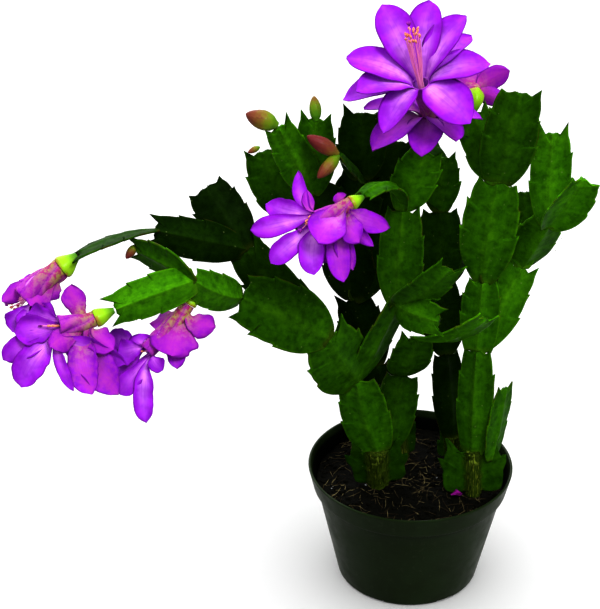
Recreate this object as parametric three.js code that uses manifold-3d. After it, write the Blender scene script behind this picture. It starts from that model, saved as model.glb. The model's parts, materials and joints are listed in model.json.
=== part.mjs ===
// A christmas cactus in bloom, rooted in peat in a round nursery pot.
// Millimetres, +Z up. The origin is the centre of the pot's underside, and the plant's best side faces -Y.

import * as THREE from "three";
import { mergeVertices } from "three/addons/utils/BufferGeometryUtils.js";
import Module from "manifold-3d";

const wasm = await Module();
wasm.setup();

const GAP = 0.3; // air left between neighbouring pieces
const SEED = 11;

// Pot: a thin tapered wall under a deeper collar
const POT_HEIGHT = 61;
const RIM_RADIUS = 50;
const COLLAR_HEIGHT = 10.5;
const COLLAR_FOOT_RADIUS = 47.4;
const COLLAR_STEP = 1;
const WALL_TOP_RADIUS = 45.6;
const FOOT_RADIUS = 34.8;
const FOOT_ROUND = 1.6;
const WALL = 1.3;
const FLOOR = 2.4;
const POT_SIDES = 32;

// Six notches in the foot, each with a drain hole in the floor behind it
const DRAINS = 6;
const DRAIN_RADIUS = 3;
const DRAIN_SIDES = 8;
const DRAIN_CIRCLE = 26;
const NOTCH = [14, 9, 1.2];

// Peat: its flat level, how rough it is, and how deep each stem stands in it
const SOIL_LEVEL = 52;
const SOIL_ROUGHNESS = 1.1;
const SOIL_RINGS = 3;
const SOIL_SIDES = 16;
const ROOT_DEPTH = 13;
const ROOT_SIDES = 8;
const ROOT_TAPER = 0.2;

// Segments of the stems
const MARGIN_HALF = 0.45; // half thickness at the toothed margin
const FOOT_PART = 0.3; // a foot's usual width as a part of the segment's
const TOOTH_PLAY = 0.05; // how far the teeth of two segments differ

// Flowers. Places on a flower's axis run from 0 at the joint that carries it to 1 at its mouth.
const ROUND_SIDES = 6;
const THROAT_FROM = 0.55;
const THROAT_TO = 1.08;
const THROAT_WALL = 0.8;
const NARROW = 0.8; // the tube's radius at its foot, as a part of its radius at the mouth
const OUTER_AFTER = 0.12; // how far past the ovary the outer tepals are rooted
const OUTER_DEPTH = 0.6; // how far from the axis a tepal is rooted, as a part of the tube's radius
const INNER_DEPTH = 0.8;
const FOOT_SINK = 1.5;
const TEPAL_HALF = 0.35;
const TEPAL_RISE = 0.32; // how far a tepal first follows the axis, as a part of its length
const TEPAL_LEAN = 0.18;
const FILAMENTS = 4;
const FILAMENT_SPREAD = 3.6;
const GOLDEN_ANGLE = 2.4;
const BUNDLE_RADIUS = 1.3;
const ANTHER_PLAY = 2;
const STYLE_LEAD = 5; // how far the style reaches past the middle anther

// Round bodies: [place along the body, radius], an ovary's and a bud's radius as a part of their own
const OVARY_PROFILE = [
  [0, 0.28],
  [0.3, 0.52],
  [0.7, 0.86],
  [1, 0.88],
];
const FILAMENT_PROFILE = [
  [0, 0.45],
  [0.8, 0.45],
  [0.9, 1],
  [1, 0.45],
];
const BUD_PROFILE = [
  [0, 0.3],
  [0.2, 0.8],
  [0.42, 1],
  [0.62, 0.95],
  [0.82, 0.7],
  [1, 0.34],
];

// The plant is laid out as it looks from in front and this far above the horizon.
const LOOKOUT = THREE.MathUtils.degToRad(28.4);
const RIGHT = new THREE.Vector3(1, 0, 0);
const UP = new THREE.Vector3(0, Math.sin(LOOKOUT), Math.cos(LOOKOUT));
const NEAR = new THREE.Vector3(0, -Math.cos(LOOKOUT), Math.sin(LOOKOUT));

// A step of so many millimetres to the right, up and towards the onlooker.
function seen(right, up, near) {
  return new THREE.Vector3()
    .addScaledVector(RIGHT, right)
    .addScaledVector(UP, up)
    .addScaledVector(NEAR, near);
}

// Where segments join or end
const JOINTS = {
  leftCrown: [-17, -9, 74],
  leftCrown2: [-12.5, -7, 75],
  a1: [-27.5, -14, 116],
  a2: [-42, -34, 150.5],
  a3: [-80, -44, 176.5],
  a4: [-99, -66, 196],
  a5: [-132, -77.2, 188],
  c4: [-99.3, -60.4, 188.7],
  a6: [-124.2, -50, 203],
  n5: [-125.3, -49.5, 203.3],
  a7: [-148, -62, 206],
  a8: [-117, -40, 207],
  a9: [-96.6, -8, 213],
  a10: [-78.5, -20, 188],
  b1: [-5, 2, 110],
  b2: [-0.3, -14, 139],
  b3: [-10, -20, 160],
  b5: [-8, -14, 205],
  b6: [0.5, -22, 236],
  b7: [11.5, -40, 189],
  b8: [-27, -42, 224],
  b9: [8.5, -38, 161],
  b10: [29, -36, 162],
  backCrown: [-7, 20, 72],
  k1: [-17, 18, 106],
  k2: [-29, 14, 145],
  k3: [-33, 10, 180],
  k4: [-22, 45, 165],
  k5: [-18, 44, 196],
  k6: [-15, 16, 186],
  k7: [-9, 24, 222],
  e0: [-48.5, -6, 209],
  e1: [-63.5, -24, 249],
  n1: [-65, -23.8, 249.7],
  e2: [-54.5, 22, 186],
  e3: [-47, -10, 247],
  e4: [-71.5, 26, 216],
  n6: [-74, 24.5, 217.5],
  e5: [-26.5, 4, 244],
  e6: [-26, 6, 211],
  e7: [-37, -20.5, 234],
  n3: [-38.7, -20.5, 235.1],
  n4: [-38.2, -21.6, 233.2],
  middleCrown: [21.5, 16, 66],
  m1: [16.6, 16, 114],
  m2: [12, 14, 153.5],
  m3: [11, 16, 190],
  m4: [11, 14, 218],
  m5: [20, 46, 170],
  m6: [5, 42, 212],
  rightCrown: [29, -11, 75],
  rightShoulder: [38, -11.5, 71],
  r1: [29, -10, 131],
  r2: [43, -8, 109],
  r3: [29.5, -12, 168],
  r4: [49, 2, 168],
  r5: [33.5, -16, 219.5],
  r6: [40, -24, 265],
  r7: [22, -4, 247],
  r8: [59.5, 8, 233],
  r9: [70, -19.5, 223],
  r10: [58.5, -6, 193],
  r11: [49.5, 16, 200],
  r12: [41, 30, 176],
  r13: [43, 38, 208],
};

// Each rooted stem: where it stands, its trunk's radius, and its shoots. A shoot is the joint that it
// grows from and then its segments: [joint at the tip, width, degrees that the face turns from the
// onlooker, bow, sideways sweep, fold along the midrib] and, where they aren't the usual ones, the
// foot's part of the width, the horns' length and the midrib's thickness as parts of the usual ones.
const STEMS = {
  stem_left: {
    root: [-15.7, -5.5],
    radius: 5.6,
    crown: "leftCrown",
    shoots: [
      [
        "leftCrown",
        ["a1", 24, -8, 0, 0.8, 0, 0.5, 0.5, 1.7],
        ["a2", 31, 10, 2, 1, 0, 0.4, 1, 1.2],
        ["a3", 30, 0, 2, -0.7, 0],
        ["a4", 17, 0, 2, 1.5, -0.35, 0.5, 0.3],
        ["a5", 18, -6, 2, -0.6, -0.45, 0.6, 1.2],
      ],
      ["a4", ["a6", 15.5, -48, 0, -1.5, 0]],
      ["a2", ["a10", 23, 0, -2, 2, 0], ["a8", 19, 0, 1, 0, -0.3], ["a7", 16, 74, 2, 1.2, 0]],
      ["a10", ["a9", 24, 10, 0, 0, 0]],
      [
        "leftCrown2",
        ["b1", 22, 12, 0, 0, 0, 0.5, 0.5, 1.4],
        ["b2", 21, 15, 2, 0, 0],
        ["b10", 18, 70, 4, 0, 0],
      ],
      ["a1", ["b3", 21, 55, 0, 0, 0], ["b5", 21, -12, 0, 0, 0], ["b6", 20, 10, 0, 0, 0]],
      ["b3", ["b7", 17, 35, 3, 0, 0]],
      ["b3", ["b9", 18, 20, 2, 0, 0]],
      ["b5", ["b8", 11, 80, 8, 0, 0]],
    ],
  },
  stem_back_left: {
    root: [-3, 20],
    radius: 4,
    crown: "backCrown",
    shoots: [
      [
        "backCrown",
        ["k1", 20, 0, 0, 0, 0, 0.45, 0.6, 1.5],
        ["k2", 22, 0, 0, 0, 0],
        ["k3", 24, -15, 0, 0, 0],
        ["e0", 25, 0, 0, 0, 0],
        ["e3", 19, 0, 0, 0, 0],
      ],
      ["k2", ["k6", 25, 0, 0, 0, 0], ["k7", 24, 0, 0, 0, 0]],
      ["k2", ["k4", 22, 60, 3, 0, 0]],
      ["k3", ["k5", 22, 40, 3, 0, 0]],
      ["k3", ["e2", 20, 0, 0, 0, 0], ["e4", 23, 0, 0, 2, 0]],
      ["k3", ["e6", 25, 0, 0, 0, 0], ["e5", 23, 0, 0, 0, 0]],
      ["e0", ["e1", 17, 0, 0, 0, 0]],
      ["e6", ["e7", 13, 65, 0, 0, 0]],
    ],
  },
  stem_back_middle: {
    root: [22, 18],
    radius: 4,
    crown: "middleCrown",
    shoots: [
      [
        "middleCrown",
        ["m1", 17, 10, 0, 0, 0, 0.45, 0.6, 1.5],
        ["m2", 21, 0, 0, 0, 0],
        ["m3", 23, 0, 0, 0, 0],
        ["m4", 16.5, 0, 0, 0, 0],
      ],
      ["m2", ["m5", 22, 40, 3, 0, 0]],
      ["m3", ["m6", 22, 30, 2, 0, 0]],
    ],
  },
  stem_right: {
    root: [30, -13.5],
    radius: 4.2,
    crown: "rightCrown",
    shoots: [
      [
        "rightCrown",
        ["r1", 18, -20, 0, 0, 0, 0.5, 0.4, 1.7],
        ["r3", 18, -10, 0, 0, 0, 0.7, 0.4, 1.4],
        ["r5", 25, -8, 1, 0.6, 0, 0.28, 0.3],
        ["r6", 24.5, 0, 1, 0, 0, 0.45, 0.5],
      ],
      ["rightShoulder", ["r2", 16, 50, 0, 0, 0]],
      ["r1", ["r4", 20, 0, 1, 0, 0], ["r10", 22, 20, 0, 0, -0.45], ["r8", 19, -10, 0, 0, 0]],
      ["r4", ["r11", 18, 0, 0, 0, 0]],
      ["r10", ["r9", 20, 30, 0, 0, 0.6]],
      ["r5", ["r7", 19, -10, 0, 0, 0]],
      ["r3", ["r12", 20, 60, 4, 0, 0], ["r13", 20, 80, 0, 0, 0]],
    ],
  },
};

// A corky first segment stands on each root: its width, and how far its wings clear the peat
const CROWN_WIDTH = { leftCrown: 28, backCrown: 18, middleCrown: 15, rightCrown: 31 };
const CROWN_CLEAR = 1.2;
const CROWN_RIB = 2.4; // the trunk's radius over a crown's swelling
const CROWN_HORNS = 2.5;

// Half of a segment's outline from its foot to the middle of its cut-off end. Each row gives the
// margin as a part of half the width and of the length, where the midrib lies along the length, and
// the midrib's half thickness.
const SEGMENT_ROWS = [
  [1, -0.045, -0.045, 0.8],
  [0.8, 0.17, 0.16, 2.1],
  [1.03, 0.48, 0.42, 1.9],
  [0.94, 0.52, 0.52, 1.8],
  [0.97, 0.75, 0.62, 1.7],
  [0.85, 0.79, 0.7, 1.6],
  [0.68, 0.97, 0.78, 1.6],
  [0.22, 0.985, 0.985, 1.5],
];
const FOOT_ROW = 0;
const TOOTH_ROWS = [2, 4]; // the claws
const HORN_ROW = 6;
const HORN_LENGTH = 0.08; // a usual horn, as a part of the segment's length

// Half of a tepal's outline: half width and place along the length.
const TEPAL_ROWS = [
  [0.24, 0],
  [0.84, 0.42],
  [0.96, 0.72],
  [0.16, 1],
];

// Each bloom: the joint that carries it, then steps [right, up, near] from there to the end of its
// ovary, the bend of its tube and its mouth, its anthers seen from the mouth, the radius of its
// tube, the place where its ovary ends, and its tepals. A tepal is [right, up, near, width, turn]:
// an outer one's tip is measured from the joint, an inner one's from the mouth. The turn tells how
// far it twists from its natural place until its inner side (1) or its back (-1) faces the onlooker.
const BLOOMS = {
  bloom_top: {
    at: "b6",
    ovary: [0, 5.5, 2.5],
    bend: [1, 17, 3],
    mouth: [-3.4, 28, 17],
    anthers: [-4.5, 18, 14],
    radius: 4.2,
    ovaryTo: 0.3,
    outer: [
      [-24, 0, 14, 16, 0.3],
      [-3, -3, 18, 15],
      [12, 3.5, 17, 17],
      [24, 13.5, 7, 12, 0.3],
      [-27, 18.5, 4, 12, 0.3],
      [2, 25, -17, 13],
    ],
    inner: [
      [-16.5, 33, 2, 15.5],
      [4, 35, 0, 15.5],
      [18.5, 27.5, 8, 15.5],
      [22.5, 21.5, -7, 12.5],
      [29.5, 8, 4, 15.5],
      [20.4, -18, 11, 18],
      [-16.5, -22.5, 12, 13],
      [-27.5, -4.5, 10, 15.5],
      [-31.5, 10.5, 3, 15.5],
      [-33, -6.5, -4, 14],
    ],
  },
  bloom_back: {
    at: "r7",
    ovary: [1, 6, -2],
    bend: [0, 11, -9],
    mouth: [-7, 15, -24],
    anthers: [-8, 9, -17],
    radius: 4.6,
    ovaryTo: 0.3,
    outer: [
      [16.5, 19, -4, 9.5, -0.8],
      [13, 5, 1, 8, -0.8],
      [-9, 9, 3, 9, -0.6],
      [-3, 22, -10, 9],
      [-10, 1, -14, 9],
    ],
    inner: [
      [10, 16, -6, 13],
      [-6, 18, -6, 13],
      [-17, 9, -8, 13],
      [-18, -7, -12, 13],
      [-4, -16, -15, 14],
      [8, -9, -18, 14],
      [16, 9, -8, 12],
    ],
  },
  bloom_middle: {
    at: "b8",
    ovary: [-5.5, -3, 2.5],
    bend: [-12, -6.5, 5],
    mouth: [-20, -10, 7],
    anthers: [-2, -1.5, 0],
    radius: 3.6,
    ovaryTo: 0.3,
    outer: [
      [11, -13.5, 9, 9, 0.9],
      [4, -21.5, 10.5, 6, 0.8],
      [-2, -20, 12.5, 10, 0.9],
      [-4.5, -31.5, 7, 8, 1],
      [-8.5, -36.5, 9, 10, 1],
      [-19.5, -20, 17, 15, 0.9],
      [-11, 1.5, 2.5, 6, -1],
    ],
    inner: [
      [-21.5, 7, -4.5, 10, 1],
      [-28, -4.5, 0.5, 9, 1],
      [-19.5, -18.5, -1, 9.5, 1],
      [-8, 21.5, -6.5, 6, 0.8],
      [-4, 12.5, -2.5, 5, -0.8],
      [-1, -23.5, 0.5, 11, 1],
      [6.5, -18, -4.5, 10, 1],
      [-9, 1.5, -15, 11],
    ],
  },
  bloom_left_high: {
    at: "a7",
    ovary: [-7.5, -6, 0],
    bend: [-15.5, -11.5, 1],
    mouth: [-22, -18, 1],
    anthers: [-5.5, -1.5, -7],
    radius: 5.4,
    ovaryTo: 0.3,
    outer: [
      [-31.5, -19.5, 2, 7, -1],
      [-24.5, -11.5, -2.5, 5, -0.6],
      [-19, -21.5, 6.5, 9, -1],
      [-12.5, -19, 2.5, 9, -0.8],
    ],
    inner: [
      [-5.5, -14, 1, 11, 1],
      [4, -13, 3.5, 12, 1],
      [13.5, -7.5, 2, 9, 0.8],
      [-2, -15.5, -6, 12, 0.5],
      [8, -5, -7, 10, 0.5],
    ],
  },
  bloom_left_front: {
    at: "a5",
    ovary: [-10.5, -4.5, 2],
    bend: [-16.5, -5.5, 4],
    mouth: [-22.5, -6.5, 6],
    anthers: [-2, 0, 0],
    radius: 4.2,
    ovaryTo: 0.36,
    outer: [
      [-18, 10.5, 0, 9.5, -0.9],
      [0.5, -16.5, 5.5, 12, -0.9],
      [-25.5, -15.5, 10.5, 10, -1],
      [-8.5, -35, 6, 13, 1],
      [2, -35.5, 2, 14, 1],
    ],
    inner: [
      [-18, -3, 1, 12, 1],
      [-13.5, 5.5, -5.5, 11, 0.8],
      [-23.5, -14.5, -3, 10.5, 1],
      [-16, -25.5, -1, 13, 1],
      [6.5, -27, 2, 5, 1],
      [27.5, -16, -6, 12, 0.8],
    ],
  },
  bloom_left_low: {
    at: "c4",
    ovary: [-2.5, -6, -1],
    bend: [-10.5, -16, 2],
    mouth: [-20, -26, 5],
    anthers: [-3.5, 0, 0],
    radius: 3.8,
    ovaryTo: 0.2,
    outer: [
      [-9, -28.5, 10, 18, -1],
      [9.5, -15.5, 5, 10, -0.8],
      [-7, -33.5, 6, 9, 1],
      [-19, -14.5, -1, 10, -0.6],
    ],
    inner: [
      [-3, 7.5, 0.5, 9, 1],
      [-11.5, -0.5, 3, 11, 1],
      [7, -8, 3, 7, 1],
      [0, -30.5, 1, 8.5, 1],
      [-11, -18.5, 1.5, 9, 1],
      [-18, -9, -1.5, 13, 1],
      [-15.5, 8, -7, 11, 0.7],
      [-6.5, -18, -7, 9, 1],
    ],
  },
};

// Each bud: the joint that carries it, the step [right, up, near] to its tip, and its radius.
const BUDS = {
  bud_1: ["n1", [-12.2, 4.4, 1.8], 4.2],
  bud_2: ["e3", [-0.9, 9.6, 0], 2.6],
  bud_3: ["n3", [-12.3, 7, 3.5], 3.4],
  bud_4: ["n4", [-8.2, -9.2, 4.4], 2.9],
  bud_5: ["n5", [-3.2, -4.6, 1], 1.9],
  bud_6: ["n6", [-4, -2, 1], 1.4],
};

// A tepal that has dropped onto the peat
const FALLEN = { foot: [19, -17.5, 53.7], tip: [24.5, -16, 53.8], width: 4.5, arch: 0.8 };

const COLOURS = {
  pot: [0x16211b, 0.45],
  soil: [0x1d140c, 0.95],
  stem: [0x1f4f08, 0.45],
  ovary: [0x86b01e, 0.4],
  tepal: [0xb11cf0, 0.5],
  stamen: [0xf0a0c0, 0.5],
  bud: [0xb06a48, 0.5],
};

const vec = (list) => new THREE.Vector3(...list);

// The same run of numbers from 0 to 1 on every build.
let state = SEED;
function draw() {
  state = (Math.imul(state, 1664525) + 1013904223) >>> 0;
  return state / 2 ** 32;
}

// A number from -size to size
const play = (size) => size * (2 * draw() - 1);

function solid(positions, index) {
  return new wasm.Manifold(
    new wasm.Mesh({
      numProp: 3,
      vertProperties: new Float32Array(positions),
      triVerts: new Uint32Array(index),
    }),
  );
}

function solidOf(geometry) {
  geometry.deleteAttribute("normal");
  geometry.deleteAttribute("uv");
  const merged = mergeVertices(geometry, 1e-4);
  return solid(merged.attributes.position.array, merged.index.array);
}

function joined(solids) {
  return solids.reduce((whole, piece) => whole.add(piece));
}

// A closed skin over rings of points that all run counterclockwise about the way forward.
// splits[i] tells which diagonal cuts the faces between ring points i and i + 1.
function skin(rings, splits, capTriangles) {
  const n = rings[0].length;
  const last = (rings.length - 1) * n;
  const index = [];
  for (let r = 0; r + 1 < rings.length; r++)
    for (let i = 0; i < n; i++) {
      const a = r * n + i;
      const b = r * n + ((i + 1) % n);
      if (splits[i]) index.push(a, b, a + n, b, b + n, a + n);
      else index.push(a, b, b + n, a, b + n, a + n);
    }
  for (const [a, b, c] of capTriangles) {
    index.push(a, c, b);
    index.push(last + a, last + b, last + c);
  }
  return solid(rings.flat().flatMap((p) => p.toArray()), index);
}

// The profile of a body whose radius at each of its even steps is radiusAt(t)
const profileOf = (steps, radiusAt) =>
  Array.from({ length: steps + 1 }, (_, i) => [i / steps, radiusAt(i / steps)]);

// A round, closed body along a curve.
function rounded(curve, profile, sides) {
  const rings = [];
  let across = new THREE.Vector3(0.3, 0.2, 1);
  for (const [t, radius] of profile) {
    const along = curve.getTangent(t);
    across = across.clone().addScaledVector(along, -across.dot(along)).normalize();
    const other = along.clone().cross(across);
    const ring = [];
    for (let i = 0; i < sides; i++) {
      const angle = (2 * Math.PI * i) / sides;
      ring.push(
        curve
          .getPoint(t)
          .addScaledVector(across, radius * Math.cos(angle))
          .addScaledVector(other, radius * Math.sin(angle)),
      );
    }
    rings.push(ring);
  }
  const cap = [];
  for (let i = 1; i + 1 < sides; i++) cap.push([0, i, i + 1]);
  return skin(rings, new Array(sides).fill(false), cap);
}

// A point of a leaf-like body: t along its curve, out to the side and up from its middle, in millimetres.
function bladePoint(curve, side, t, out, up) {
  const along = curve.getPoint(t + 0.01).sub(curve.getPoint(t - 0.01)).normalize();
  const across = side.clone().addScaledVector(along, -side.dot(along)).normalize();
  const face = along.cross(across);
  return curve.getPoint(t).addScaledVector(across, out).addScaledVector(face, up);
}

// A segment's section: right front, midrib front, left front, left back, midrib back, right back.
const SEGMENT_SPLITS = [true, false, false, true, false, false];
const SEGMENT_CAP = [
  [0, 1, 5],
  [1, 4, 5],
  [1, 2, 4],
  [2, 3, 4],
];

// The rings of one segment, from its foot to its cut-off end.
function segmentRings(from, to, shape) {
  const [width, turn, bow, sweep, fold, foot = FOOT_PART, horns = 1, swell = 1] = shape;
  const along = to.clone().sub(from).normalize();
  const face = NEAR.clone().addScaledVector(along, -NEAR.dot(along)).normalize();
  face.applyAxisAngle(along, THREE.MathUtils.degToRad(turn));
  const side = face.clone().cross(along);
  const control = from
    .clone()
    .lerp(to, 0.5)
    .addScaledVector(face, 2 * bow)
    .addScaledVector(side, 2 * sweep);
  const curve = new THREE.QuadraticBezierCurve3(from, control, to);
  return SEGMENT_ROWS.map(([half, edgeAt, ribAt, ribHalf], row) => {
    const wear = TOOTH_ROWS.includes(row) ? TOOTH_PLAY : 0;
    const part = row === FOOT_ROW ? foot : half;
    const marginAt = edgeAt + (row === HORN_ROW ? HORN_LENGTH * horns : 0);
    const edges = (way) => {
      const out = ((part * width) / 2) * (1 + play(wear));
      return [MARGIN_HALF, -MARGIN_HALF].map((up) =>
        bladePoint(curve, side, marginAt, way * out, up + fold * out),
      );
    };
    const [rightFront, rightBack] = edges(1);
    const [leftFront, leftBack] = edges(-1);
    const ribFront = bladePoint(curve, side, ribAt, 0, swell * ribHalf);
    const ribBack = bladePoint(curve, side, ribAt, 0, -swell * ribHalf);
    return [rightFront, ribFront, leftFront, leftBack, ribBack, rightBack];
  });
}

// A chain of segments, each growing out of the cut-off end of the one before it.
function shoot([start, ...segments]) {
  let from = vec(JOINTS[start]);
  let rings = [];
  for (const [joint, ...shape] of segments) {
    const to = vec(JOINTS[joint]);
    const next = segmentRings(from, to, shape);
    if (rings.length) {
      const end = rings.pop();
      const foot = next.shift();
      rings.push(end.map((p, i) => p.lerp(foot[i], 0.5)));
    }
    rings = rings.concat(next);
    from = to;
  }
  return skin(rings, SEGMENT_SPLITS, SEGMENT_CAP);
}

function stem({ root, radius, crown, shoots }) {
  const [x, y] = root;
  const top = vec(JOINTS[crown]);
  const foot = new THREE.Vector3(x, y, SOIL_LEVEL - ROOT_DEPTH);
  const wings = new THREE.Vector3(x, y, SOIL_LEVEL + SOIL_ROUGHNESS + CROWN_CLEAR);
  const trunk = new THREE.CatmullRomCurve3([foot, wings, top]);
  const footPart = (2 * radius) / CROWN_WIDTH[crown];
  const crownShape = [CROWN_WIDTH[crown], 0, 0, 0, 0, footPart, CROWN_HORNS, radius / CROWN_RIB];
  const crownRings = segmentRings(wings, top, crownShape);
  return joined([
    rounded(trunk, profileOf(3, (t) => radius * (1 - ROOT_TAPER * t)), ROOT_SIDES),
    skin(crownRings, SEGMENT_SPLITS, SEGMENT_CAP),
    ...shoots.map(shoot),
  ]);
}

// A tepal's section: right front, left front, left back, right back.
const TEPAL_SPLITS = [true, false, false, false];
const TEPAL_CAP = [
  [0, 1, 3],
  [1, 2, 3],
];

// A petal twists from its foot up to its broad part, by an angle that may be 0.
function petal(curve, side, width, twist) {
  const broadFrom = TEPAL_ROWS[1][1];
  const rings = TEPAL_ROWS.map(([half, t]) => {
    const out = (half * width) / 2;
    const turn = twist * Math.min(1, t / broadFrom);
    const across = side.clone().applyAxisAngle(curve.getTangent(t), turn);
    return [
      bladePoint(curve, across, t, out, TEPAL_HALF),
      bladePoint(curve, across, t, -out, TEPAL_HALF),
      bladePoint(curve, across, t, -out, -TEPAL_HALF),
      bladePoint(curve, across, t, out, -TEPAL_HALF),
    ];
  });
  return skin(rings, TEPAL_SPLITS, TEPAL_CAP);
}

// A tepal from a foot on the tube to its tip. It sets out along the tube's axis and bends outwards.
function tepal(foot, axis, tip, width, show) {
  const reach = tip.clone().sub(foot);
  const along = reach.clone().normalize();
  const side = axis.clone().cross(reach).normalize();
  const wanted = NEAR.clone().cross(along).multiplyScalar(Math.sign(show));
  const angle = Math.atan2(along.dot(side.clone().cross(wanted)), side.dot(wanted));
  const twist = Math.abs(show) * angle;
  const control = foot
    .clone()
    .addScaledVector(axis, TEPAL_RISE * reach.length())
    .addScaledVector(reach, TEPAL_LEAN);
  return petal(new THREE.QuadraticBezierCurve3(foot, control, tip), side, width, twist);
}

// A stretch of a flower's axis, as a curve of its own. It runs on straight beyond the mouth.
function stretch(axisCurve, from, to) {
  return {
    getPoint(t) {
      const place = THREE.MathUtils.lerp(from, to, t);
      const past = Math.max(0, place - 1) * axisCurve.getLength();
      return axisCurve
        .getPointAt(Math.min(1, place))
        .addScaledVector(axisCurve.getTangentAt(Math.min(1, place)), past);
    },
    getTangent: (t) => axisCurve.getTangentAt(Math.min(1, THREE.MathUtils.lerp(from, to, t))),
  };
}

// The bundle of filaments and the style, rising out of the throat. Each ends in a swollen anther or stigma.
function stamens(axisCurve, anthers) {
  const mouth = axisCurve.getPointAt(1);
  const top = mouth.clone().add(seen(...anthers));
  const along = top.clone().sub(mouth).normalize();
  const fork = mouth.clone().lerp(top, 0.5);
  const root = axisCurve.getPointAt(THROAT_FROM + (2 * GAP) / axisCurve.getLength());
  const bundle = new THREE.CatmullRomCurve3([root, mouth, fork]);
  const pieces = [rounded(bundle, profileOf(2, () => BUNDLE_RADIUS), 4)];
  const across = new THREE.Vector3(1, 0, 0).addScaledVector(along, -along.x).normalize();
  const other = along.clone().cross(across);
  for (let i = 0; i <= FILAMENTS; i++) {
    const style = i === FILAMENTS;
    const angle = i * GOLDEN_ANGLE;
    const spread = style ? 0 : FILAMENT_SPREAD * Math.sqrt((i + 1) / FILAMENTS);
    const offset = across
      .clone()
      .multiplyScalar(spread * Math.cos(angle))
      .addScaledVector(other, spread * Math.sin(angle));
    const start = mouth.clone().lerp(fork, 0.8).addScaledVector(offset, 0.15);
    const end = top
      .clone()
      .add(offset)
      .addScaledVector(along, style ? STYLE_LEAD : play(ANTHER_PLAY));
    pieces.push(rounded(new THREE.LineCurve3(start, end), FILAMENT_PROFILE, 3));
  }
  return joined(pieces);
}

function bloom(spec) {
  const base = vec(JOINTS[spec.at]);
  const step = (list) => base.clone().add(seen(...list));
  const mouth = step(spec.mouth);
  const axisCurve = new THREE.CatmullRomCurve3([base, step(spec.ovary), step(spec.bend), mouth]);
  const length = axisCurve.getLength();
  const tubeFrom = spec.ovaryTo + GAP / length;
  const radiusAt = (place) =>
    spec.radius * THREE.MathUtils.mapLinear(place, tubeFrom, 1, NARROW, 1);
  const ovaryProfile = OVARY_PROFILE.map(([t, part]) => [t, part * spec.radius]);
  const ovary = rounded(stretch(axisCurve, GAP / length, spec.ovaryTo), ovaryProfile, ROUND_SIDES);
  const tubePart = (from, to, steps, inset) =>
    rounded(
      stretch(axisCurve, from, to),
      profileOf(steps, (t) => radiusAt(THREE.MathUtils.lerp(from, to, t)) - inset),
      ROUND_SIDES,
    );
  const tube = tubePart(tubeFrom, 1, 3, 0);
  const throat = tubePart(THROAT_FROM, THROAT_TO, 2, THROAT_WALL);
  const place = (at, depth, tips, origin) =>
    tips.map(([right, up, near, width, show = 0]) => {
      const tip = origin.clone().add(seen(right, up, near));
      const centre = axisCurve.getPointAt(at);
      const axis = axisCurve.getTangentAt(at);
      const out = tip.clone().sub(centre);
      out.addScaledVector(axis, -out.dot(axis)).normalize();
      const foot = centre
        .addScaledVector(out, depth * radiusAt(at))
        .addScaledVector(axis, -FOOT_SINK);
      return tepal(foot, axis, tip, width, show);
    });
  const outer = place(spec.ovaryTo + OUTER_AFTER, OUTER_DEPTH, spec.outer, base);
  const inner = place(1, INNER_DEPTH, spec.inner, mouth);
  const perianth = joined([tube, ...outer, ...inner]).subtract(throat);
  return { ovary, perianth, bundle: stamens(axisCurve, spec.anthers) };
}

function bud([at, step, radius]) {
  const base = vec(JOINTS[at]);
  const tip = base.clone().add(seen(...step));
  const profile = BUD_PROFILE.map(([t, part]) => [t, radius * part]);
  return rounded(new THREE.LineCurve3(base, tip), profile, ROUND_SIDES);
}

function fallenTepal() {
  const foot = vec(FALLEN.foot);
  const tip = vec(FALLEN.tip);
  const middle = foot.clone().lerp(tip, 0.5);
  middle.z += FALLEN.arch;
  const curve = new THREE.QuadraticBezierCurve3(foot, middle, tip);
  const side = new THREE.Vector3(0, 0, 1).cross(tip.clone().sub(foot)).normalize();
  return petal(curve, side, FALLEN.width, 0);
}

// The wall's outer radius at a height below the collar
function wallRadius(z) {
  const slope = (WALL_TOP_RADIUS - FOOT_RADIUS) / (POT_HEIGHT - COLLAR_HEIGHT);
  return FOOT_RADIUS + slope * z;
}

function pot() {
  const collarFoot = POT_HEIGHT - COLLAR_HEIGHT;
  const wallTop = collarFoot - COLLAR_STEP;
  const outline = [
    [0, 0],
    [FOOT_RADIUS - FOOT_ROUND, 0],
    [FOOT_RADIUS, FOOT_ROUND],
    [WALL_TOP_RADIUS, wallTop],
    [COLLAR_FOOT_RADIUS, collarFoot],
    [RIM_RADIUS, POT_HEIGHT],
    [RIM_RADIUS - WALL, POT_HEIGHT],
    [COLLAR_FOOT_RADIUS - WALL, collarFoot],
    [WALL_TOP_RADIUS - WALL, wallTop],
    [wallRadius(FLOOR) - WALL, FLOOR],
    [0, FLOOR],
  ].map(([radius, z]) => new THREE.Vector2(radius, z));
  const geometry = new THREE.LatheGeometry(outline, POT_SIDES);
  geometry.rotateX(Math.PI / 2);
  let shell = solidOf(geometry);
  const [long, wide, high] = NOTCH;
  for (let i = 0; i < DRAINS; i++) {
    const angle = (2 * Math.PI * i) / DRAINS;
    const hole = new THREE.CylinderGeometry(DRAIN_RADIUS, DRAIN_RADIUS, 3 * FLOOR, DRAIN_SIDES);
    hole.rotateX(Math.PI / 2);
    hole.translate(DRAIN_CIRCLE, 0, 0);
    hole.rotateZ(angle);
    const notch = new THREE.BoxGeometry(long, wide, 2 * high);
    notch.translate(DRAIN_CIRCLE + long / 2, 0, 0);
    notch.rotateZ(angle);
    shell = shell.subtract(solidOf(hole)).subtract(solidOf(notch));
  }
  return shell;
}

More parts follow.
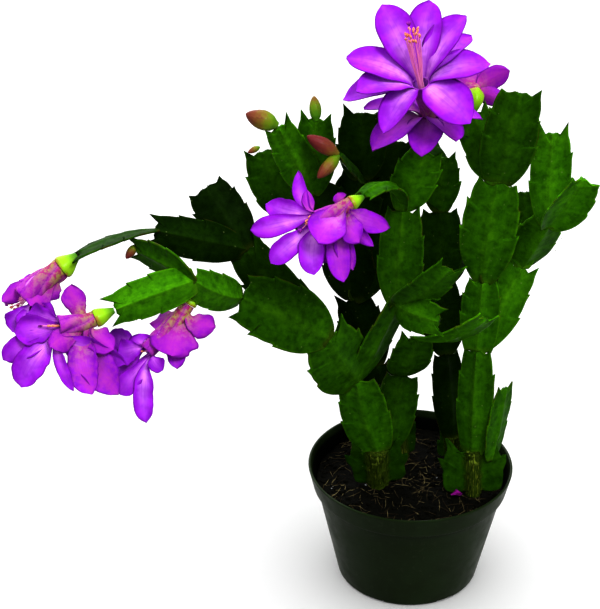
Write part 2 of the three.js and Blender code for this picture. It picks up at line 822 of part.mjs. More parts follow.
// Peat that fills the pot to its level, with a rough top and a plain hole for each stem
function soil() {
  const topRadius = wallRadius(SOIL_LEVEL - SOIL_ROUGHNESS) - WALL - GAP;
  const bottom = FLOOR + GAP;
  const floorRadius = wallRadius(bottom) - WALL - GAP;
  const positions = [0, 0, bottom, 0, 0, SOIL_LEVEL];
  const index = [];
  const ringStart = (ring) => 2 + ring * SOIL_SIDES;
  const addRing = (radius, zAt) => {
    for (let i = 0; i < SOIL_SIDES; i++) {
      const angle = (2 * Math.PI * i) / SOIL_SIDES;
      positions.push(radius * Math.cos(angle), radius * Math.sin(angle), zAt());
    }
  };
  addRing(floorRadius, () => bottom);
  for (let ring = SOIL_RINGS; ring > 0; ring--)
    addRing((topRadius * ring) / SOIL_RINGS, () => SOIL_LEVEL + play(SOIL_ROUGHNESS));
  for (let i = 0; i < SOIL_SIDES; i++) {
    const j = (i + 1) % SOIL_SIDES;
    index.push(0, ringStart(0) + j, ringStart(0) + i);
    for (let ring = 0; ring < SOIL_RINGS; ring++) {
      const a = ringStart(ring);
      const b = ringStart(ring + 1);
      index.push(a + i, a + j, b + j, a + i, b + j, b + i);
    }
    const c = ringStart(SOIL_RINGS);
    index.push(c + i, c + j, 1);
  }
  let body = solid(positions, index);
  for (const { root, radius } of Object.values(STEMS)) {
    const depth = ROOT_DEPTH + GAP;
    const wide = radius + GAP;
    const hole = new THREE.CylinderGeometry(wide, wide, 2 * depth, 2 * ROOT_SIDES);
    hole.rotateX(Math.PI / 2);
    hole.translate(root[0], root[1], SOIL_LEVEL);
    body = body.subtract(solidOf(hole));
  }
  return body;
}

const plant = new THREE.Group();

function place(name, body, [colour, roughness]) {
  const mesh = body.getMesh();
  const geometry = new THREE.BufferGeometry();
  geometry.setAttribute("position", new THREE.BufferAttribute(mesh.vertProperties, 3));
  geometry.setIndex(new THREE.BufferAttribute(mesh.triVerts, 1));
  const finish = { color: colour, roughness, metalness: 0, flatShading: true };
  const piece = new THREE.Mesh(geometry, new THREE.MeshStandardMaterial(finish));
  piece.name = name;
  plant.add(piece);
}

place("pot", pot(), COLOURS.pot);
place("soil", soil(), COLOURS.soil);
for (const [name, spec] of Object.entries(STEMS)) place(name, stem(spec), COLOURS.stem);
for (const [name, spec] of Object.entries(BLOOMS)) {
  const { ovary, perianth, bundle } = bloom(spec);
  place(name + "_ovary", ovary, COLOURS.ovary);
  place(name + "_tepals", perianth, COLOURS.tepal);
  place(name + "_stamens", bundle, COLOURS.stamen);
}
for (const [name, spec] of Object.entries(BUDS)) place(name, bud(spec), COLOURS.bud);
place("fallen_tepal", fallenTepal(), COLOURS.tepal);

export default plant;
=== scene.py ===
"""A christmas cactus in bloom, rooted in peat in a round nursery pot.

Lengths are millimetres until a mesh is made. +Z is up, and the plant's best side faces -Y.
"""
import json
import math
import random

import bpy
from mathutils import Matrix, Vector, noise

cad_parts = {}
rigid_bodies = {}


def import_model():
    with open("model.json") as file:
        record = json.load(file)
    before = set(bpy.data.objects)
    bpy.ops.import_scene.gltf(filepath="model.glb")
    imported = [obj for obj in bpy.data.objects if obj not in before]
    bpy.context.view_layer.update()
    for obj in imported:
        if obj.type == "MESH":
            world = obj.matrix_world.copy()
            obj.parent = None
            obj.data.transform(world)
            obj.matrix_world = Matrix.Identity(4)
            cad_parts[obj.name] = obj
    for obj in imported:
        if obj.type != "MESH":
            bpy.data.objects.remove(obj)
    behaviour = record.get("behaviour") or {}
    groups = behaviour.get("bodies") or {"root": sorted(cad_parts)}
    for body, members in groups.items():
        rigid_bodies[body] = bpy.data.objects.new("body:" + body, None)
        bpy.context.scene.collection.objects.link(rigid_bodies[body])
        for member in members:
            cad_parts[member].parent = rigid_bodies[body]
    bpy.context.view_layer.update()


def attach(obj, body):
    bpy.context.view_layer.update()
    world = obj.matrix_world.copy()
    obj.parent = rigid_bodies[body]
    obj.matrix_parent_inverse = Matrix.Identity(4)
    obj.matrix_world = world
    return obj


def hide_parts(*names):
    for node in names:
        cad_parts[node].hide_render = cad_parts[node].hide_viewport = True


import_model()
scene = bpy.context.scene

MM = 0.001
SEED = 23
UPRIGHT = Vector((0, 0, 1))
ASKEW = Vector((0.3, 0.2, 1))  # a direction that no tube runs in
NEARBY = 0.01  # the step along a curve that tells its heading

# The plant is laid out as it looks from in front and this far above the horizon.
LOOKOUT = math.radians(28.4)
RIGHT = Vector((1, 0, 0))
UP = Vector((0, math.sin(LOOKOUT), math.cos(LOOKOUT)))
NEAR = Vector((0, -math.cos(LOOKOUT), math.sin(LOOKOUT)))

# Camera: the point it looks at, how far off it stands, and its lens on a 36 mm sensor
AIM = Vector((-54, 0, 149))
DISTANCE = 850
LENS = 107.6
GAMMA = 0.75

# Light: the sky's strength from a little below the horizon up to the zenith, as a map of the height
# z, and each sun's place, power and spread in degrees
SKY = (-0.1, 0.9, 0.42, 1.7)
SUNS = {
    "key": ((350, -500, 800), 3, 20),
    "fill": ((-500, -600, 420), 0.6, 70),
    "back": ((-250, 650, 520), 2.8, 60),
}
STAGE_REACH = 6  # metres from the middle of the floor to its edges

# Pot: a thin tapered wall under a deeper collar, with drain holes and notches in its foot
POT_HEIGHT = 61
RIM_RADIUS = 50
COLLAR_FOOT = 50.5
COLLAR_FOOT_RADIUS = 47.4
WALL_TOP = 49.5
WALL_TOP_RADIUS = 45.6
FOOT_RADIUS = 34.8
FOOT_ROUND = 1.6
WALL = 1.3
FLOOR = 2.4
POT_SIDES = 144
POT_MIDDLE = 0.01  # the radius that closes its floor
POT_RING = 12  # a ring of points inside the drain holes
LONG_SIDES = (0, 2, 4, 6)  # the corners of its section that a long side follows
LONG_PARTS = 6
POT_SHARP = 35  # degrees from which an edge is sharp
DRAINS = 6
DRAIN_RADIUS = 3
DRAIN_CIRCLE = 26
DRAIN_SIDES = 32
NOTCH = (14, 9, 1.2)  # length, width and height
NOTCH_FLARE = 0.5

# Peat and what lies on it, each kind with its number, how far out it reaches and its sizes
SOIL_LEVEL = 52
SOIL_RADIUS = 45.6
SOIL_ROUGHNESS = 0.9
SOIL_RINGS = 56
SOIL_SIDES = 180
SOIL_MIDDLE = 0.2
SOIL_GAP = 0.3
CRUMBS = (420, 0.97 * SOIL_RADIUS, 0.4, 1.5)
GRIT = (6, 42, 0.3, 0.6)
FIBRES = (330, 44, 3, 12)
FIBRE_RADIUS = 0.12
FIBRE_LIFT = 0.6
FIBRE_BEND = 0.5
FIBRE_SIDES = 5
LUMP_ROWS = 6
LUMP_SIDES = 9
LUMP_FLAT = 0.7
LUMP_UNEVEN = 0.45

# Trunks, from their roots in the peat to their crowns' tops
ROOT_DEPTH = 13
CROWN_FOOT = SOIL_LEVEL + 2.3
TRUNK_STEPS = 26
TRUNK_FLUTE = 0.05
TRUNK_RIDGES = 9

# Where segments join or end
JOINTS = {
    "leftCrown": (-17, -9, 74), "leftCrown2": (-12.5, -7, 75), "a1": (-27.5, -14, 116),
    "a2": (-42, -34, 150.5), "a3": (-80, -44, 176.5), "a4": (-99, -66, 196),
    "a5": (-132, -77.2, 188), "c4": (-99.3, -60.4, 188.7), "a6": (-124.2, -50, 203),
    "n5": (-125.3, -49.5, 203.3), "a7": (-148, -62, 206), "a8": (-117, -40, 207),
    "a9": (-96.6, -8, 213), "a10": (-78.5, -20, 188), "b1": (-5, 2, 110), "b2": (-0.3, -14, 139),
    "b3": (-10, -20, 160), "b5": (-8, -14, 205), "b6": (0.5, -22, 236), "b7": (11.5, -40, 189),
    "b8": (-27, -42, 224), "b9": (8.5, -38, 161), "b10": (29, -36, 162), "backCrown": (-7, 20, 72),
    "k1": (-17, 18, 106), "k2": (-29, 14, 145), "k3": (-33, 10, 180), "k4": (-22, 45, 165),
    "k5": (-18, 44, 196), "k6": (-15, 16, 186), "k7": (-9, 24, 222), "e0": (-48.5, -6, 209),
    "e1": (-63.5, -24, 249), "n1": (-65, -23.8, 249.7), "e2": (-54.5, 22, 186),
    "e3": (-47, -10, 247), "e4": (-71.5, 26, 216), "n6": (-74, 24.5, 217.5), "e5": (-26.5, 4, 244),
    "e6": (-26, 6, 211), "e7": (-37, -20.5, 234), "n3": (-38.7, -20.5, 235.1),
    "n4": (-38.2, -21.6, 233.2), "middleCrown": (21.5, 16, 66), "m1": (16.6, 16, 114),
    "m2": (12, 14, 153.5), "m3": (11, 16, 190), "m4": (11, 14, 218), "m5": (20, 46, 170),
    "m6": (5, 42, 212), "rightCrown": (29, -11, 75), "rightShoulder": (38, -11.5, 71),
    "r1": (29, -10, 131), "r2": (43, -8, 109), "r3": (29.5, -12, 168), "r4": (49, 2, 168),
    "r5": (33.5, -16, 219.5), "r6": (40, -24, 265), "r7": (22, -4, 247), "r8": (59.5, 8, 233),
    "r9": (70, -19.5, 223), "r10": (58.5, -6, 193), "r11": (49.5, 16, 200), "r12": (41, 30, 176),
    "r13": (43, 38, 208),
}

# Each rooted stem: where it stands, its trunk's radius, its crown's joint, width and green from 0 dark
# to 1 light, and its shoots. A shoot is the joint it grows from and its segments: (joint at the tip,
# width, degrees that the face turns from the onlooker, bow, sideways sweep, fold along the midrib,
# green from 0 dark to 1 light) and, where they aren't the usual ones, the foot's part of the width,
# the horns' and the midrib's size. Each green is partly the segment's own tone and partly painted
# shade, dark where a segment stands deep in the plant or is turned from the light.
STEMS = {
    "stem_left": (
        (-15.7, -5.5), 5.6, ("leftCrown", 28, 0.16),
        [
            (
                "leftCrown", ("a1", 24, -8, 0, 0.8, 0, 0.46, 0.5, 0.5, 1.7),
                ("a2", 31, 10, 2, 1, 0, 0.42, 0.4, 1, 1.2), ("a3", 30, 0, 2, -0.7, 0, 0.34),
                ("a4", 17, 0, 2, 1.5, -0.35, 0.66, 0.5, 0.3),
                ("a5", 18, -6, 2, -0.6, -0.45, 0.84, 0.6, 1.2),
            ),
            ("a4", ("a6", 15.5, -48, 0, -1.5, 0, 0.45)),
            (
                "a2", ("a10", 23, 0, -2, 2, 0, 0.13), ("a8", 19, 0, 1, 0, -0.3, 0.08),
                ("a7", 16, 74, 2, 1.2, 0, 0.16),
            ),
            ("a10", ("a9", 24, 10, 0, 0, 0, 0.01)),
            (
                "leftCrown2", ("b1", 22, 12, 0, 0, 0, 0.26, 0.5, 0.5, 1.4),
                ("b2", 21, 15, 2, 0, 0, 0.45), ("b10", 18, 70, 4, 0, 0, 0.8),
            ),
            (
                "a1", ("b3", 21, 55, 0, 0, 0, 0.4), ("b5", 21, -12, 0, 0, 0, 0.34),
                ("b6", 20, 10, 0, 0, 0, 0.75),
            ),
            ("b3", ("b7", 17, 35, 3, 0, 0, 0.5)), ("b3", ("b9", 18, 20, 2, 0, 0, 0.48)),
            ("b5", ("b8", 11, 80, 8, 0, 0, 0.55)),
        ],
    ),
    "stem_back_left": (
        (-3, 20), 4, ("backCrown", 18, 0.2),
        [
            (
                "backCrown", ("k1", 20, 0, 0, 0, 0, 0, 0.45, 0.6, 1.5), ("k2", 22, 0, 0, 0, 0, 0),
                ("k3", 24, -15, 0, 0, 0, 0), ("e0", 25, 0, 0, 0, 0, 0.12),
                ("e3", 19, 0, 0, 0, 0, 0.55),
            ),
            ("k2", ("k6", 25, 0, 0, 0, 0, 0), ("k7", 24, 0, 0, 0, 0, 0.05)),
            ("k2", ("k4", 22, 60, 3, 0, 0, 0.1)), ("k3", ("k5", 22, 40, 3, 0, 0, 0.1)),
            ("k3", ("e2", 20, 0, 0, 0, 0, 0.15), ("e4", 23, 0, 0, 2, 0, 0.25)),
            ("k3", ("e6", 25, 0, 0, 0, 0, 0.02), ("e5", 23, 0, 0, 0, 0, 0.16)),
            ("e0", ("e1", 17, 0, 0, 0, 0, 0.7)), ("e6", ("e7", 13, 65, 0, 0, 0, 0.35)),
        ],
    ),
    "stem_back_middle": (
        (22, 18), 4, ("middleCrown", 15, 0.3),
        [
            (
                "middleCrown", ("m1", 17, 10, 0, 0, 0, 0.04, 0.45, 0.6, 1.5),
                ("m2", 21, 0, 0, 0, 0, 0.1), ("m3", 23, 0, 0, 0, 0, 0.15),
                ("m4", 16.5, 0, 0, 0, 0, 0.5),
            ),
            ("m2", ("m5", 22, 40, 3, 0, 0, 0.1)), ("m3", ("m6", 22, 30, 2, 0, 0, 0.1)),
        ],
    ),
    "stem_right": (
        (30, -13.5), 4.2, ("rightCrown", 31, 0.2),
        [
            (
                "rightCrown", ("r1", 18, -20, 0, 0, 0, 0.4, 0.5, 0.4, 1.7),
                ("r3", 18, -10, 0, 0, 0, 0.66, 0.7, 0.4, 1.4),
                ("r5", 25, -8, 1, 0.6, 0, 0.52, 0.28, 0.3),
                ("r6", 24.5, 0, 1, 0, 0, 0.38, 0.45, 0.5),
            ),
            ("rightShoulder", ("r2", 16, 50, 0, 0, 0, 0.48)),
            (
                "r1", ("r4", 20, 0, 1, 0, 0, 0.58), ("r10", 22, 20, 0, 0, -0.45, 0.62),
                ("r8", 19, -10, 0, 0, 0, 0.6),
            ),
            ("r4", ("r11", 18, 0, 0, 0, 0, 0.5)), ("r10", ("r9", 20, 30, 0, 0, 0.6, 1)),
            ("r5", ("r7", 19, -10, 0, 0, 0, 0.45)),
            ("r3", ("r12", 20, 60, 4, 0, 0, 0.15), ("r13", 20, 80, 0, 0, 0, 0.15)),
        ],
    ),
}

# A segment's margin as arcs from its foot, each with two handles, its end, where the midrib lies
# at that end, the midrib's half thickness there, its steps and, on a claw's or horn's way up or
# down, which claw it is. Places are (part of half the width, part of the length).
MARGIN_ARCS = [
    ((0, 0), (0.95, 0.2), (1, 0.41), 0.38, 2, 10, None),
    ((1.01, 0.44), (1.02, 0.46), (1.04, 0.5), 0.42, 1.9, 3, 0),
    ((1, 0.48), (0.96, 0.475), (0.945, 0.51), 0.5, 1.8, 3, 0),
    ((0.97, 0.56), (0.97, 0.61), (0.95, 0.68), 0.6, 1.7, 6, None),
    ((0.945, 0.71), (0.95, 0.735), (0.965, 0.775), 0.63, 1.7, 3, 1),
    ((0.92, 0.75), (0.88, 0.75), (0.85, 0.785), 0.7, 1.6, 3, 1),
    ((0.85, 0.84), (0.81, 0.9), (0.73, 0.95), 0.8, 1.6, 6, None),
    ((0.71, 0.985), (0.7, 1.02), (0.71, 1.075), 0.84, 1.6, 4, 2),
    ((0.66, 1.02), (0.62, 0.995), (0.55, 0.975), 0.88, 1.6, 3, 2),
    ((0.46, 0.955), (0.36, 0.965), (0.2, 0.99), 0.97, 1.5, 5, None),
]
CLAW_FEET = [(0.985, 0.47), (0.92, 0.74), (0.67, 0.96)]  # the last is the horn's
CLAW_DOWN = (2, 5, 8)  # the arcs that come down from a claw or horn
BAYS = (2, 5)  # those that end in a bay, where a side vein ends
VEIN_BEFORE = 0.4  # the vein's part just before and after the bay
VEIN_AFTER = 0.3
FOOT_AT = -0.035
FOOT_HALF = 0.9
FOOT_PART = 0.3  # a foot's usual width as a part of the segment's
FOOT_FLARE = 0.3
CLAW_PLAY = 0.55  # how much claws, their places, margins and shades differ by chance
CLAW_SLIDE = 0.035
BULGE = 0.06
SHADE_PLAY = 0.05
ACROSS = (1, 0.94, 0.85, 0.73, 0.59, 0.45, 0.32, 0.2, 0.11, 0.04)
COLUMNS = [*ACROSS, 0, *(-w for w in reversed(ACROSS))]
EDGE_HALF = 0.36  # half thickness close to the margin
RIDGE_SPREAD = 0.2
RIDGE_FALL = 1.4
VEIN_HEIGHT = 0.035
SWAY = 0.5  # how far a blade ripples out of its plane
PUFF = 0.22  # how far its skin swells
UNEVEN = 0.05
BRISTLE_SPOTS = [(0.93, 0.515), (0.84, 0.79), (0.14, 0.985)]  # the bays and the cut-off end
BRISTLE_PAINT = (1, 0, 0.9, 0.5)
BRISTLE_RADII = (0.08, 0.05, 0.02)

# A crown's outline: (part of half the width, part of the height) up its ragged wing
WING_OUTLINE = [
    (0.62, -0.06), (0.86, 0), (0.95, 0.16), (0.96, 0.36), (0.93, 0.5), (1.04, 0.68), (1.06, 0.86),
    (0.94, 0.76), (0.87, 0.82), (0.84, 0.98), (0.8, 1.1), (0.84, 1.32), (0.72, 1.18), (0.6, 1.04),
    (0.46, 1.0), (0.3, 1.02),
]
WING_HALF = 0.8
WING_ROWS = 46
WING_UNEVEN = 0.22
WING_BEND = 1.6
CROWN_OVER = 1.02  # how far its column rises, as a part of its height
CROWN_RIB = 0.3

# A tepal's half width along its length, from its foot to its tip
TEPAL_OUTLINE = [
    (0, 0.22), (0.12, 0.34), (0.28, 0.64), (0.45, 0.94), (0.6, 1.06), (0.73, 1.04), (0.83, 0.9),
    (0.91, 0.66), (0.955, 0.42), (0.98, 0.2), (1, 0.04),
]
TEPAL_ROWS = 28
TEPAL_COLUMNS = 8  # on each side of the middle
TEPAL_HALF = 0.24
TEPAL_EDGE = 0.05
TEPAL_RISE = 0.32
TEPAL_LEAN = 0.18
TWIST_UNTIL = 0.4

# Flowers. Places on a flower's axis run from 0 at the joint that carries it to 1 at its mouth.
THROAT_FROM = 0.55
THROAT = (1, 0.9, 0.8, 0.7, 0.62, THROAT_FROM)
THROAT_FLOOR = 0.2  # its radius as a part of the throat's
LIP_GAP = 0.01  # keeps the lip's inner ring off its outer one
LEAST_RADIUS = 0.3
NARROW = 0.8
TUBE_GAP = 0.2
TUBE_WALL = 0.7
TUBE_STEPS = 20
TUBE_SIDES = 48
TUBE_AGE = 0.5  # the least age of a tube
TUBE_LOBES = 4
TUBE_TURN = 0.35
TUBE_FOLD = 0.16
OUTER_AFTER = 0.12  # how far past the ovary the outer tepals are rooted
OUTER_DEPTH = 0.6
OUTER_AGE = 0.4
INNER_DEPTH = 0.8
FOOT_SINK = 1.5
OVARY_STEPS = 22
OVARY_SIDES = 30
OVARY_FLUTE = 0.035
STAMENS_FROM = 0.57
FILAMENTS = 17
FILAMENT_RADIUS = 0.24
FILAMENT_SPREAD = 3.6
FILAMENT_STEPS = 14
FILAMENT_SIDES = 6
TIP_SIDES = 8  # round an anther and a lobe of the stigma
FILAMENT_TAPER = 0.35
GOLDEN_ANGLE = 2.4
ANTHER_PLAY = 2
STYLE_LEAD = 5
STYLE_SPREAD = 0.4
STYLE_SIZE = 1.5
STIGMA_LOBES = 6
BUD_SINK = 1.6
BUD_ROWS = 30
BUD_SIDES = 40
BUD_LOBES = 5
BUD_LAP = 0.09

OVARY_PROFILE = [(0, 0.28), (0.15, 0.4), (0.35, 0.56), (0.6, 0.78), (0.85, 0.92), (1, 0.88)]
BUD_PROFILE = [
    (0, 0.34), (0.08, 0.5), (0.2, 0.82), (0.42, 1), (0.62, 0.93), (0.82, 0.64), (0.95, 0.3),
    (1, 0.06),
]

# Each bloom: how ragged it is, the joint that carries it, then steps (right, up, near) from there to
# the end of its ovary, the bend of its tube and its mouth, its anthers seen from the mouth, the
# radius of its tube, the place where its ovary ends, and its tepals. A tepal is (right, up, near,
# width, turn): an outer one's tip is measured from the joint, an inner one's from the mouth. The
# turn tells how far it twists from its natural place until its inner side (1) or its back (-1) faces
# the onlooker.
BLOOMS = {
    "bloom_top": dict(
        wild=0.12, at="b6", ovary=(0, 5.5, 2.5), bend=(1, 17, 3), mouth=(-3.4, 28, 17),
        anthers=(-4.5, 18, 14), radius=4.2, ovary_to=0.3,
        outer=[
            (-24, 0, 14, 16, 0.3), (-3, -3, 18, 15, 0), (12, 3.5, 17, 17, 0),
            (24, 13.5, 7, 12, 0.3), (-27, 18.5, 4, 12, 0.3), (2, 25, -17, 13, 0),
        ],
        inner=[
            (-16.5, 33, 2, 15.5, 0), (4, 35, 0, 15.5, 0), (18.5, 27.5, 8, 15.5, 0),
            (22.5, 21.5, -7, 12.5, 0), (29.5, 8, 4, 15.5, 0), (20.4, -18, 11, 18, 0),
            (-16.5, -22.5, 12, 13, 0), (-27.5, -4.5, 10, 15.5, 0), (-31.5, 10.5, 3, 15.5, 0),
            (-33, -6.5, -4, 14, 0),
        ],
    ),
    "bloom_back": dict(
        wild=0.2, at="r7", ovary=(1, 6, -2), bend=(0, 11, -9), mouth=(-7, 15, -24),
        anthers=(-8, 9, -17), radius=4.6, ovary_to=0.3,
        outer=[
            (16.5, 19, -4, 9.5, -0.8), (13, 5, 1, 8, -0.8), (-9, 9, 3, 9, -0.6),
            (-3, 22, -10, 9, 0), (-10, 1, -14, 9, 0),
        ],
        inner=[
            (10, 16, -6, 13, 0), (-6, 18, -6, 13, 0), (-17, 9, -8, 13, 0), (-18, -7, -12, 13, 0),
            (-4, -16, -15, 14, 0), (8, -9, -18, 14, 0), (16, 9, -8, 12, 0),
        ],
    ),
    "bloom_middle": dict(
        wild=0.3, at="b8", ovary=(-5.5, -3, 2.5), bend=(-12, -6.5, 5), mouth=(-20, -10, 7),
        anthers=(-2, -1.5, 0), radius=3.6, ovary_to=0.3,
        outer=[
            (11, -13.5, 9, 9, 0.9), (4, -21.5, 10.5, 6, 0.8), (-2, -20, 12.5, 10, 0.9),
            (-4.5, -31.5, 7, 8, 1), (-8.5, -36.5, 9, 10, 1), (-19.5, -20, 17, 15, 0.9),
            (-11, 1.5, 2.5, 6, -1),
        ],
        inner=[
            (-21.5, 7, -4.5, 10, 1), (-28, -4.5, 0.5, 9, 1), (-19.5, -18.5, -1, 9.5, 1),
            (-8, 21.5, -6.5, 6, 0.8), (-4, 12.5, -2.5, 5, -0.8), (-1, -23.5, 0.5, 11, 1),
            (6.5, -18, -4.5, 10, 1), (-9, 1.5, -15, 11, 0),
        ],
    ),
    "bloom_left_high": dict(
        wild=0.7, at="a7", ovary=(-7.5, -6, 0), bend=(-15.5, -11.5, 1), mouth=(-22, -18, 1),
        anthers=(-5.5, -1.5, -7), radius=5.4, ovary_to=0.3,
        outer=[
            (-31.5, -19.5, 2, 7, -1), (-24.5, -11.5, -2.5, 5, -0.6), (-19, -21.5, 6.5, 9, -1),
            (-12.5, -19, 2.5, 9, -0.8),
        ],
        inner=[
            (-5.5, -14, 1, 11, 1), (4, -13, 3.5, 12, 1), (13.5, -7.5, 2, 9, 0.8),
            (-2, -15.5, -6, 12, 0.5), (8, -5, -7, 10, 0.5),
        ],
    ),
    "bloom_left_front": dict(
        wild=0.7, at="a5", ovary=(-10.5, -4.5, 2), bend=(-16.5, -5.5, 4), mouth=(-22.5, -6.5, 6),
        anthers=(-2, 0, 0), radius=4.2, ovary_to=0.36,
        outer=[
            (-18, 10.5, 0, 9.5, -0.9), (0.5, -16.5, 5.5, 12, -0.9), (-25.5, -15.5, 10.5, 10, -1),
            (-8.5, -35, 6, 13, 1), (2, -35.5, 2, 14, 1),
        ],
        inner=[
            (-18, -3, 1, 12, 1), (-13.5, 5.5, -5.5, 11, 0.8), (-23.5, -14.5, -3, 10.5, 1),
            (-16, -25.5, -1, 13, 1), (6.5, -27, 2, 5, 1), (27.5, -16, -6, 12, 0.8),
        ],
    ),
    "bloom_left_low": dict(
        wild=0.7, at="c4", ovary=(-2.5, -6, -1), bend=(-10.5, -16, 2), mouth=(-20, -26, 5),
        anthers=(-3.5, 0, 0), radius=3.8, ovary_to=0.2,
        outer=[
            (-9, -28.5, 10, 18, -1), (9.5, -15.5, 5, 10, -0.8), (-7, -33.5, 6, 9, 1),
            (-19, -14.5, -1, 10, -0.6),
        ],
        inner=[
            (-3, 7.5, 0.5, 9, 1), (-11.5, -0.5, 3, 11, 1), (7, -8, 3, 7, 1), (0, -30.5, 1, 8.5, 1),
            (-11, -18.5, 1.5, 9, 1), (-18, -9, -1.5, 13, 1), (-15.5, 8, -7, 11, 0.7),
            (-6.5, -18, -7, 9, 1),
        ],
    ),
}

# Each bud: the joint that carries it, the step (right, up, near) to its tip, its radius, and its
# ripeness from 0, green, to 1, coloured through.
BUDS = {
    "bud_1": ("n1", (-12.2, 4.4, 1.8), 4.2, 0.45), "bud_2": ("e3", (-0.9, 9.6, 0), 2.6, 0.1),
    "bud_3": ("n3", (-12.3, 7, 3.5), 3.4, 0.95), "bud_4": ("n4", (-8.2, -9.2, 4.4), 2.9, 0.5),
    "bud_5": ("n5", (-3.2, -4.6, 1), 1.9, 0.6), "bud_6": ("n6", (-4, -2, 1), 1.4, 0.5),
}

# A tepal that has dropped onto the peat: foot, tip, width, the rise of its middle and its raggedness
FALLEN = ((19, -17.5, 53.7), (24.5, -16, 53.8), 4.5, 0.8, 0.2)

chance = random.Random(SEED)


def play(size):
    """A number from -size to size."""
    return chance.uniform(-size, size)


def somewhere(reach=50):
    """A random place to read noise from."""
    return Vector((play(reach), play(reach), play(reach)))


def wave(drift, x, y=0, z=0):
    """Smooth noise, read so far from a random place."""
    return noise.noise(Vector((x, y, z)) + drift)


def seen(right, up, near):
    """A step to the right, up and towards the onlooker."""
    return RIGHT * right + UP * up + NEAR * near


def lerp(a, b, t):
    return a + (b - a) * t


def shares(steps):
    """0 to 1 in even steps."""
    return [i / steps for i in range(steps + 1)]


def circle(sides, way=1):
    """Angles in even steps round a circle, one way or the other."""
    return [way * 2 * math.pi * k / sides for k in range(sides)]


def around(across, other, angle):
    """The direction at an angle from across towards other."""
    return across * math.cos(angle) + other * math.sin(angle)


def square(way, along):
    """The direction nearest to way that stands square to along."""
    return (way - along * way.dot(along)).normalized()


def smooth(value, low, high):
    """0 up to low, 1 from high, and a smooth rise between them."""
    t = min(1, max(0, (value - low) / (high - low)))
    return t * t * (3 - 2 * t)


def hump(value, spread):
    """A smooth hump about 0, one high."""
    return math.exp(-((value / spread) ** 2))


def follow(profile, t):
    """A smooth value at t from rising pairs (place, value)."""
    last = len(profile) - 2
    i = max(0, min(last, sum(place <= t for place, _ in profile) - 1))
    (x0, y0), (x1, y1) = profile[i], profile[i + 1]

    def slope(k):
        low, high = profile[max(0, k - 1)], profile[min(last + 1, k + 1)]
        return (high[1] - low[1]) / (high[0] - low[0])

    width = x1 - x0
    u = (t - x0) / width
    from_low = y0 * (2 * u**3 - 3 * u**2 + 1) + slope(i) * width * (u**3 - 2 * u**2 + u)
    from_high = y1 * (3 * u**2 - 2 * u**3) + slope(i + 1) * width * (u**3 - u**2)
    return from_low + from_high


def bent(a, control, b):
    """A quadratic curve from a to b, pulled towards control."""
    return lambda t: a * (1 - t) ** 2 + control * (2 * t * (1 - t)) + b * t * t


def heading(curve, t):
    return (curve(t + NEARBY) - curve(t - NEARBY)).normalized()


def blade_frame(curve, side, t):
    """A point of a blade's middle, with its ways across and out of its face."""
    along = heading(curve, t)
    across = square(side, along)
    return curve(t), across, along.cross(across)


class Path:
    """A smooth curve through points. Its places run from 0 to 1 by length."""

    STEPS = 24

    def __init__(self, points):
        ends = [points[0] * 2 - points[1], *points, points[-1] * 2 - points[-2]]
        self.line = [points[0]]
        for i in range(len(points) - 1):
            for step in range(1, self.STEPS + 1):
                self.line.append(self.between(*ends[i : i + 4], step / self.STEPS))
        self.far = [0]
        for a, b in zip(self.line, self.line[1:]):
            self.far.append(self.far[-1] + (b - a).length)
        self.length = self.far[-1]

    @staticmethod
    def between(a, b, c, d, t):
        """A point between b and c of a curve through a, b, c and d."""
        before, own, after = ((q - p).length ** 0.5 for p, q in ((a, b), (b, c), (c, d)))
        start = (b - a) / before - (c - a) / (before + own) + (c - b) / own
        end = (c - b) / own - (d - b) / (own + after) + (d - c) / after
        start, end = start * own, end * own
        cubic = (b - c) * 2 + start + end
        square = (c - b) * 3 - start * 2 - end
        return b + start * t + square * t * t + cubic * t**3

    def at(self, place):
        goal = place * self.length
        i = max(0, min(len(self.far) - 2, sum(far <= goal for far in self.far) - 1))
        share = (goal - self.far[i]) / (self.far[i + 1] - self.far[i])
        return self.line[i].lerp(self.line[i + 1], share)

    def heading(self, place):
        near = 0.5 / len(self.line)
        return (self.at(min(1, place + near)) - self.at(max(0, place - near))).normalized()


def add_object(name, data):
    made = bpy.data.objects.new(name, data)
    scene.collection.objects.link(made)
    return made


def add_mesh(name, points, faces):
    mesh = bpy.data.meshes.new(name)
    mesh.from_pydata(points, [], faces)
    return add_object(name, mesh)


